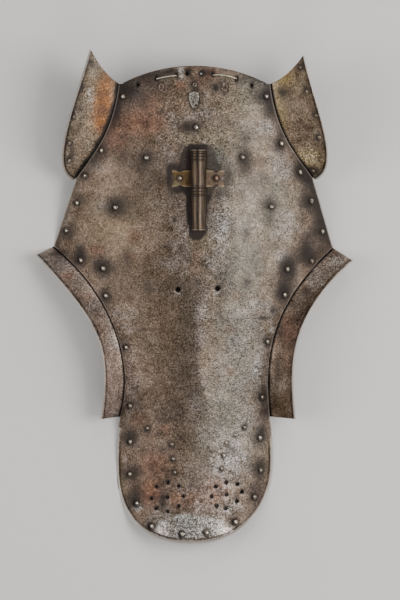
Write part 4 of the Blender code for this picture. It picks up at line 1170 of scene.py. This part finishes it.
def brassWearAndShading(points):  # a dark line down the seam, dirt between the rings, painted shade down the tube's sides and under it, painted highlight streaks and rims, a painted shadow beside the tube on the strap, a rubbed spot, and the strap's two colours
    x, y, z = points.T
    height, across, away = z - plumeBase - plume["lift"], x - plume["x"], plume["top"] - y
    onTube = np.hypot(across, height) < plume["topRadius"] + 1
    sootAndShade = 0.85 * peak(np.degrees(np.arctan2(height, across)), plume["seam"]["angle"], 5)
    # painted shade down both sides of the tube
    sootAndShade += 0.6 * (1 - step(across, -9.5, -6.5)) + 0.4 * step(across, 6.5, 9)
    ends = [end for start, width, _ in plume["rings"] for end in (start, start + width)]
    lines = np.max([0.6 * peak(away, end, 0.45) for end in ends], axis=0)
    # the dirt between the rings, and painted shade under the tube
    sootAndShade = np.max([sootAndShade, lines, 0.8 * (1 - step(height, -9, -3))], axis=0) * onTube
    # painted highlight streaks down the tube and round its two rims
    highlightStreaks = 0.65 * peak(across, 1.6, 1.0) + 0.3 * peak(across, -4.4, 1.2)
    highlightStreaks += 0.6 * peak(away, 91.5, 1.2) + 0.7 * peak(away, 0.8, 0.8)
    highlightStreaks = np.clip(highlightStreaks, 0, 0.85) * onTube * (1 - lines)
    left, right = ~onTube & (across < 0), ~onTube & (across > 0)
    rubbed = softSpot(x, y, *strapStains["bright"]) * left
    # a painted shadow of the tube on the strap's left arm
    dirtAndShadow = np.maximum(softSpot(x, y, *strapStains["sootAndShade"]), 0.75 * peak(across, -10.2, 1.3)) * left
    for spot in rivets:
        if spot["kind"] == "bracket":
            ring = peak(np.hypot(x - spot["x"], y - spot["y"]), 3.6, 1.4)
            dirtAndShadow = np.maximum(dirtAndShadow, (0.9 if spot["x"] > 0 else 0.6) * ring * ~onTube)
    for spot in strapStains["dents"]:
        dirtAndShadow = np.maximum(dirtAndShadow, softSpot(x, y, *spot) * ~onTube)
    return {
        "sootAndShade": np.maximum(sootAndShade, dirtAndShadow), "bright": np.maximum(highlightStreaks, rubbed), "ochre": 0.75 * left,
        "rust": 0.7 * right, "pale": softSpot(x, y, *strapStains["green"]) * left,
        # a painted highlight along the strap's edges
        "edge": 0.8 * peak(np.abs(y - plume["y"]), 9.2, 1.2) * ~onTube,
    }


# materials

def linear(code):  # an sRGB hex colour as linear light
    values = [int(code[i:i + 2], 16) / 255 for i in (1, 3, 5)]
    return (*[v / 12.92 if v <= 0.04045 else ((v + 0.055) / 1.055) ** 2.4 for v in values], 1)


def feed(tree, node, inputs):  # links the sockets that feed a node, and sets its other inputs
    for key, value in inputs.items() if isinstance(inputs, dict) else enumerate(inputs):
        if isinstance(value, bpy.types.NodeSocket):
            tree.links.new(value, node.inputs[key])
        else:
            node.inputs[key].default_value = value


def addNode(tree, kind, inputs=(), output=0, **settings):  # adds a node, sets and feeds it, and gives one output
    node = tree.nodes.new("ShaderNode" + kind)
    for key, value in settings.items():
        setattr(node, key, value)
    feed(tree, node, inputs)
    return node.outputs[output]


def perMm(size):  # texture scale for a pattern whose grains are size mm wide
    return 1000 / size


def newMaterial(name):
    material = bpy.data.materials.new(name)
    material.use_nodes = True
    return material, material.node_tree, material.node_tree.nodes["Principled BSDF"]


def wearAndShadingLayers(tree):  # the painted kinds of wear, shade and highlight, each as a socket
    found = {}
    for name, kinds in wearAndShadingAttributes.items():
        colour = addNode(tree, "Attribute", output="Color", attribute_name=name)
        found.update(zip(kinds, addNode(tree, "SeparateColor", [colour]).node.outputs))
    return found


def setStops(colour, stops):  # sets the stops of the ramp that gives this colour
    elements = colour.node.color_ramp.elements
    while len(elements) < len(stops):
        elements.new(1)
    for element, (position, code) in zip(elements, stops):
        element.position, element.color = position, linear(code)


def weighted(tree, start, *parts):  # start plus each part times its weight
    for part, weight in parts:
        start = addNode(tree, "Math", [part, weight, start], operation="MULTIPLY_ADD")
    return start


def coated(tree, skin, *coats):  # coats of colour over each other: where each one lies, its strength, its colour
    for share, strength, colour in coats:
        share = addNode(tree, "Math", [share, strength], operation="MULTIPLY")
        colour = linear(colour) if isinstance(colour, str) else colour
        skin = addNode(tree, "Mix", {0: share, 6: skin, 7: colour}, output=2, data_type="RGBA")
    return skin


# Hammered wrought steel that was browned, has pitted, and was cleaned again and again:
# dark pits in a worn grey-brown skin, with rust blooms, soot round the rivets, bare rubbed metal, flecks of painted
# glint, and the painted shade and highlights of each piece.
steelGrain = {  # how wide each pattern's grains are, in mm, and its detail
    "cloud": (60, 3), "mottle": (17, 4), "soft": (13, 2), "blotch": (6, 3), "drift": (24, 0),
    # real pits are a third of a millimetre wide: they are drawn as coarse as they need to show
    "coarse": (3.2, 2), "fine": (1.6, 1), "fleck": (2.1, 1),
}
steelBreaks = {  # the pattern that breaks the edge, but not the middle, of a painted layer, and how much
    "rust": ("blotch", 0.4), "sootAndShade": ("mottle", 0.35), "bright": ("blotch", 0.8), "pale": ("soft", 1.5),
    "dim": ("soft", 1.0),
}


def patinatedSteel(name, look):
    material, tree, shader = newMaterial(name)
    where = addNode(tree, "TexCoord", output="Object")
    layer, grain = wearAndShadingLayers(tree), {}
    for kind, (size, detail) in steelGrain.items():
        settings = {"Vector": where, "Scale": perMm(size), "Detail": detail, "Roughness": 0.6}
        grain[kind] = addNode(tree, "TexNoise", settings)
    for kind, (breaker, amount) in steelBreaks.items():
        loose = addNode(tree, "Math", [layer[kind], weighted(tree, 4.2, (layer[kind], -4))], operation="MULTIPLY")
        broken = weighted(tree, layer[kind], (weighted(tree, -amount / 2, (grain[breaker], amount)), loose))
        layer[kind] = addNode(tree, "MapRange", {0: broken, 1: 0.06, 2: 0.94}, interpolation_type="SMOOTHSTEP")

    # the browned skin: broad clouds broken up by a mottle, thin in some places and thick in others
    level = weighted(tree, 0, (grain["mottle"], 0.5), (grain["cloud"], 0.5))
    skin = addNode(tree, "ValToRGB", [level])
    setStops(skin, [(0.39, look["dark"]), (0.5, look["middle"]), (0.61, look["light"])])
    rust = addNode(tree, "ValToRGB", [grain["mottle"]])
    setStops(rust, [(0.38, look["rustDark"]), (0.6, look["rust"])])
    barest = addNode(tree, "Math", [layer["bright"], layer["bright"]], operation="MULTIPLY")
    skin = coated(
        tree, skin, (layer["pale"], 0.6, look["pale"]), (layer["dim"], 0.7, look["dim"]),
        (layer["ochre"], 0.6, look["ochre"]), (layer["rust"], look["rustAmount"], rust),
        (barest, 0.45, look["bright"]), (layer["cool"], 0.19, look["cool"]),
    )
    # the hue drifts between warm and cool, but never to pink or green
    drift = addNode(tree, "MapRange", {0: grain["drift"], 1: 0.3, 2: 0.7}, interpolation_type="SMOOTHSTEP")
    drift = coated(tree, linear(look["cooler"]), (drift, 1, look["warmer"]))
    drift = {0: look["hue"], 6: skin, 7: drift}
    skin = addNode(tree, "Mix", drift, output=2, data_type="RGBA", blend_type="OVERLAY")

    # pitting: a grain of light and dark, strongest where the metal is bare, with flecks of painted glint
    swing = weighted(tree, -3.56, (grain["blotch"], 1.6), (grain["coarse"], 1.5), (grain["fine"], 3.9))
    most = look["grain"]
    amount = weighted(tree, most, (layer["pale"], most * 0.35), (layer["bright"], most * 0.65))
    swing = addNode(tree, "Math", [swing, amount], operation="MULTIPLY")
    swing = addNode(tree, "Math", [swing, -0.66], operation="MAXIMUM")
    # flecks of painted glint, as light catches the pitted metal
    glintFlecks = addNode(tree, "MapRange", {0: grain["fleck"], 1: 0.42, 2: 0.32}, interpolation_type="SMOOTHSTEP")
    swing = weighted(tree, swing, (glintFlecks, look["fleck"]))
    # most of it scales the colour and a little adds grey, so that the grain looks grey and not brown
    grey = addNode(tree, "Math", [addNode(tree, "RGBToBW", [skin]), swing], operation="MULTIPLY")
    grey = addNode(tree, "Math", [grey, 0.22], operation="MULTIPLY")
    skin = addNode(tree, "VectorMath", [skin, weighted(tree, 1, (swing, 0.78)), grey], operation="MULTIPLY_ADD")
    skin = addNode(tree, "VectorMath", [skin, linear(look["deepest"])[:3]], operation="MAXIMUM")
    pits = addNode(tree, "MapRange", {0: grain["fleck"], 1: 0.58, 2: 0.7}, interpolation_type="SMOOTHSTEP")
    skin = coated(
        tree, skin, (pits, weighted(tree, look["pits"], (layer["bright"], -0.15)), look["pit"]),
        # soot and crack also lay the painted shade, and edge the painted highlight along each edge
        (layer["sootAndShade"], 0.94, look["sootAndShade"]), (layer["crackAndShade"], 0.95, look["crackAndShade"]),
        (layer["edge"], 1, look["edge"]),
    )

    low, high = look["roughness"] - 0.1, look["roughness"] + 0.1
    rough = addNode(tree, "MapRange", {0: grain["fine"], 1: 0.3, 2: 0.7, 3: low, 4: high})
    rough = weighted(tree, rough, (layer["rust"], 0.2), (layer["sootAndShade"], 0.35), (layer["bright"], -0.08))
    # dark metal mirrors less light than dark dirt, so the cracks are metal and the soot is not
    metal = weighted(tree, look["metallic"], (layer["rust"], -0.45), (layer["sootAndShade"], -0.5), (layer["crackAndShade"], 0.35),
                     (layer["edge"], -0.4))
    height = weighted(tree, 0, (grain["blotch"], 0.9), (grain["fine"], 0.5))
    bump = addNode(tree, "Bump", {"Strength": look["bump"], "Distance": 0.6 * mm, "Height": height})
    feed(tree, shader, {"Base Color": skin, "Roughness": rough, "Metallic": metal, "Normal": bump})
    return material


# Aged brass: a dull olive brown skin with dirt in the grooves and painted shade down its sides and underneath,
# pinkish in its painted highlights and where it is rubbed bare, ochre on the strap and green where it has corroded.
def agedBrass(name, look):
    material, tree, shader = newMaterial(name)
    where = addNode(tree, "TexCoord", output="Object")
    layer = wearAndShadingLayers(tree)
    drawn = addNode(tree, "Mapping", {"Vector": where, "Scale": (1, 0.12, 1)})  # drawn out along the tube
    broad = addNode(tree, "TexNoise", {"Vector": drawn, "Scale": perMm(3), "Detail": 4})
    grain = addNode(tree, "TexNoise", {"Vector": where, "Scale": perMm(2), "Detail": 2})
    skin = addNode(tree, "ValToRGB", [broad])
    setStops(skin, [(0.36, look["dark"]), (0.5, look["middle"]), (0.64, look["light"])])
    skin = coated(
        tree, skin, (layer["ochre"], 1, look["ochre"]), (layer["rust"], 1, look["pink"]),
        (layer["pale"], 1, look["green"]), (layer["bright"], 1, look["bright"]), (layer["edge"], 1, look["edge"]),
        (layer["sootAndShade"], 1, look["sootAndShade"]),
    )
    light = weighted(tree, 1 - look["grain"] / 2, (grain, look["grain"]))
    skin = addNode(tree, "VectorMath", {0: skin, "Scale": light}, operation="SCALE")
    rough = addNode(tree, "MapRange", {0: grain, 1: 0.3, 2: 0.7, 3: 0.42, 4: 0.6})
    bump = addNode(tree, "Bump", {"Strength": 0.4, "Distance": 0.3 * mm, "Height": grain})
    feed(tree, shader, {"Base Color": skin, "Roughness": rough, "Metallic": look["metallic"], "Normal": bump})
    return material


# bright is the colour of rubbed metal and of the painted highlights, and soot that of soot and of painted shade
steelLook = {
    "dark": "#594a3e", "middle": "#756354", "light": "#8c7a6b", "pale": "#998d86", "dim": "#4f4239",
    "ochre": "#857253", "rustDark": "#5d3c2c", "rust": "#91654c", "rustAmount": 0.85, "bright": "#d6d0ca",
    "edge": "#9a9088", "sootAndShade": "#221814", "cool": "#6c8a86", "crackAndShade": "#070506", "pit": "#1d1713",
    "deepest": "#12100d", "cooler": "#b7bcc2", "warmer": "#c0bbb4", "hue": 0.3, "grain": 0.68, "pits": 0.1,
    "fleck": 0.8, "roughness": 0.4, "metallic": 0.72, "bump": 0.6,
}
looks = {  # what is different on each piece: edge is the colour of the painted highlight along each edge, and the left guards are painted lighter and the right guards darker, as light and shade from the right; their rust and ochre are their own
    "plate_steel": {"edge": "#b4aaa0"},
    "ear_left_steel": {
        "edge": "#a39990", "dark": "#6f6155", "middle": "#907f6b", "light": "#ab9781", "pale": "#b9a994",
        "rustDark": "#7a4d2c", "rust": "#ad6c2e", "rustAmount": 0.97, "metallic": 0.5},
    "ear_right_steel": {
        "edge": "#cfc6bf", "dark": "#5b4a3b", "middle": "#8a7660", "light": "#a58f79", "pale": "#cbb998",
        "bright": "#dec8a6", "ochre": "#bca062", "rustDark": "#5a4630", "rust": "#7a6241", "dim": "#4c3f30",
        "metallic": 0.5},
    "eye_left_steel": {
        "edge": "#b0a59b", "dark": "#7e6f66", "middle": "#998779", "light": "#b09e90", "pale": "#bfb0a6",
        "rustDark": "#7a5a4b", "rust": "#9a7262", "grain": 0.66, "pits": 0.08},
    "eye_right_steel": {
        "edge": "#b8aea5", "dark": "#5a493e", "middle": "#7f6b5b", "light": "#9b8876", "pale": "#cdbcae",
        "rustDark": "#553829", "rust": "#7e5844", "pits": 0.12},
    "strap_rivet_steel": {"dark": "#63564a", "middle": "#917f6e", "light": "#b09e8c", "grain": 0.5, "pits": 0.15},
    # rivet_steel's bright is the colour of the painted glint on each head
    "rivet_steel": {
        "dark": "#685d50", "middle": "#8b7f6e", "light": "#a79b89", "bright": "#efe8da", "grain": 0.6,
        "fleck": 0.4, "pits": 0.15, "roughness": 0.34, "metallic": 0.8, "bump": 0.35},
    "shield_steel": {"dark": "#7b7267", "middle": "#9b9285", "light": "#b5ab9d", "grain": 0.6, "pits": 0.06},
    "wire_steel": {
        "dark": "#b3a888", "middle": "#d8ccb0", "light": "#e8dfc8", "grain": 0.2, "fleck": 0.2,
        "roughness": 0.34, "metallic": 0.6, "bump": 0.2},
}
# bright is the colour of the painted highlight streaks and of rubbed metal, edge that of the painted highlight
# along the strap, and soot that of dirt and painted shade
brassLook = {
    "dark": "#2c2117", "middle": "#433323", "light": "#5b4834", "ochre": "#765a32", "pink": "#7d6753",
    "green": "#5f6a48", "bright": "#8e7a68", "edge": "#b29a78", "sootAndShade": "#100c09", "grain": 1.2, "metallic": 0.5,
}
steels = {name: patinatedSteel(name, {**steelLook, **look}) for name, look in looks.items()}
brass = agedBrass("aged_brass", brassLook)


# build

def hand(piece, material, slot, *nodes):  # material, body, slot (not used) and the frame nodes it stands for
    piece.data.materials.clear()
    piece.data.materials.append(material)
    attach(piece, "root")
    if nodes:
        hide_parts(*nodes)


plan, insets = platePlan()
plateEdge = plan[insets == 0]
corners = np.array(shield["outline"]) + (shield["x"], shield["y"])
shieldRim = [blend(a, b, i / 8) for a, b in zip(corners, np.roll(corners, -1, 0)) for i in range(8)]
piece = makeMainPlate(plan, insets)
paintWearAndShading(piece, stains, plateWear)
hand(piece, steels["plate_steel"], "steel", "main_plate")
print("face plate:", len(piece.data.polygons), "faces")

for side in ("left", "right"):
    for part, guard in (("ear", earGuard), ("eye", eyeGuard)):
        piece = makeGuard(f"{part}_flare_{side}", guard, side)
        paintWearAndShading(piece, guardStains[f"{part}_{side}"], guardWearAndShading(guard, side))
        hand(piece, steels[f"{part}_{side}_steel"], "steel", f"{part}_guard_{side}")
    piece = makeRimRivets(side)
    paintWearAndShading(piece)
    hand(piece, steels[f"ear_{side}_steel"], "rivet_steel")
print("guards made")

for piece, spot in makeRivets():
    finish = "strap_rivet_steel" if spot["kind"] == "strap" else "rivet_steel"
    hand(piece, steels[finish], "rivet_steel", spot["name"])
print("rivets made:", len(rivets))

piece = makePlumeHolder()
paintWearAndShading(piece, extra=brassWearAndShading, under=0)
hand(piece, brass, "brass", "plume_holder")
piece = makeShield()
paintWearAndShading(piece, shieldStains, lambda points: {"crackAndShade": 0.4 * (1 - step(nearLine(points, shieldRim), 0.2, 0.8))})
hand(piece, steels["shield_steel"], "rivet_steel", "shield")
piece = makeWire()
paintWearAndShading(piece)
hand(piece, steels["wire_steel"], "wire", "lacing_wire")
piece = makeEyelets()
paintWearAndShading(piece, eyeletStains)
hand(piece, steels["plate_steel"], "steel")
# black plugs that keep the holes dark, as painted shade
piece = makeShadePlugs()
paintWearAndShading(piece, extra=lambda points: {"crackAndShade": np.ones(len(points))})
hand(piece, steels["plate_steel"], "steel")
print("plume holder, shield, wire, eyelets and dirt made")


# floor, light and camera

studio = {
    "floor": "#efece7", "floorSize": 8, "floorRoughness": 0.9,
    "world": "#c9cdd4", "worldStrength": 0.22,
    "aim": (0, 0, 0.04),  # what the lamps look at
    "lamps": [  # name, where it hangs, size and power
        ("key_lamp", (1.3, 0.05, 1.9), 1.2, 31), ("fill_lamp", (-1.5, 0.0, 1.6), 1.3, 14),
        ("front_lamp", (0.3, -1.6, 1.9), 1.2, 9), ("back_lamp", (0.4, 1.5, 1.7), 0.8, 6),
        ("low_right_lamp", (1.9, -0.3, 0.9), 1.0, 9), ("low_left_lamp", (-1.9, -0.1, 0.9), 1.0, 7),
    ],
    "camera": {"x": 0.0063, "y": -0.00345, "lens": 600, "frameHeight": 0.690, "level": 0.045, "reach": 20},
}
bpy.ops.mesh.primitive_plane_add(size=studio["floorSize"])
floor = bpy.context.object
floor.name = "studio_floor"
# matt paper, which has no shine of its own and takes only soft shadows
paper, tree, shader = newMaterial("matt_pale_paper")
feed(tree, shader, {"Base Color": linear(studio["floor"]), "Roughness": studio["floorRoughness"]})
floor.data.materials.append(paper)

world = bpy.data.worlds.new("soft_room")
bpy.context.scene.world = world
world.use_nodes = True
sky = world.node_tree.nodes["Background"]
feed(world.node_tree, sky, {"Color": linear(studio["world"]), "Strength": studio["worldStrength"]})

for name, spot, size, power in studio["lamps"]:
    lamp = bpy.data.lights.new(name, "AREA")
    lamp.size = size
    lamp.energy = power
    lampObject = bpy.data.objects.new(name, lamp)
    bpy.context.collection.objects.link(lampObject)
    lampObject.location = spot
    lampObject.rotation_euler = (Vector(studio["aim"]) - Vector(spot)).to_track_quat("-Z", "Y").to_euler()

view = studio["camera"]
camera = bpy.data.cameras.new("camera")
camera.lens = view["lens"]
camera.clip_end = view["reach"]
cameraObject = bpy.data.objects.new("camera", camera)
bpy.context.collection.objects.link(cameraObject)
height = view["lens"] * view["frameHeight"] / camera.sensor_width
cameraObject.location = (view["x"], view["y"], view["level"] + height)
bpy.context.scene.camera = cameraObject

print("stage set")
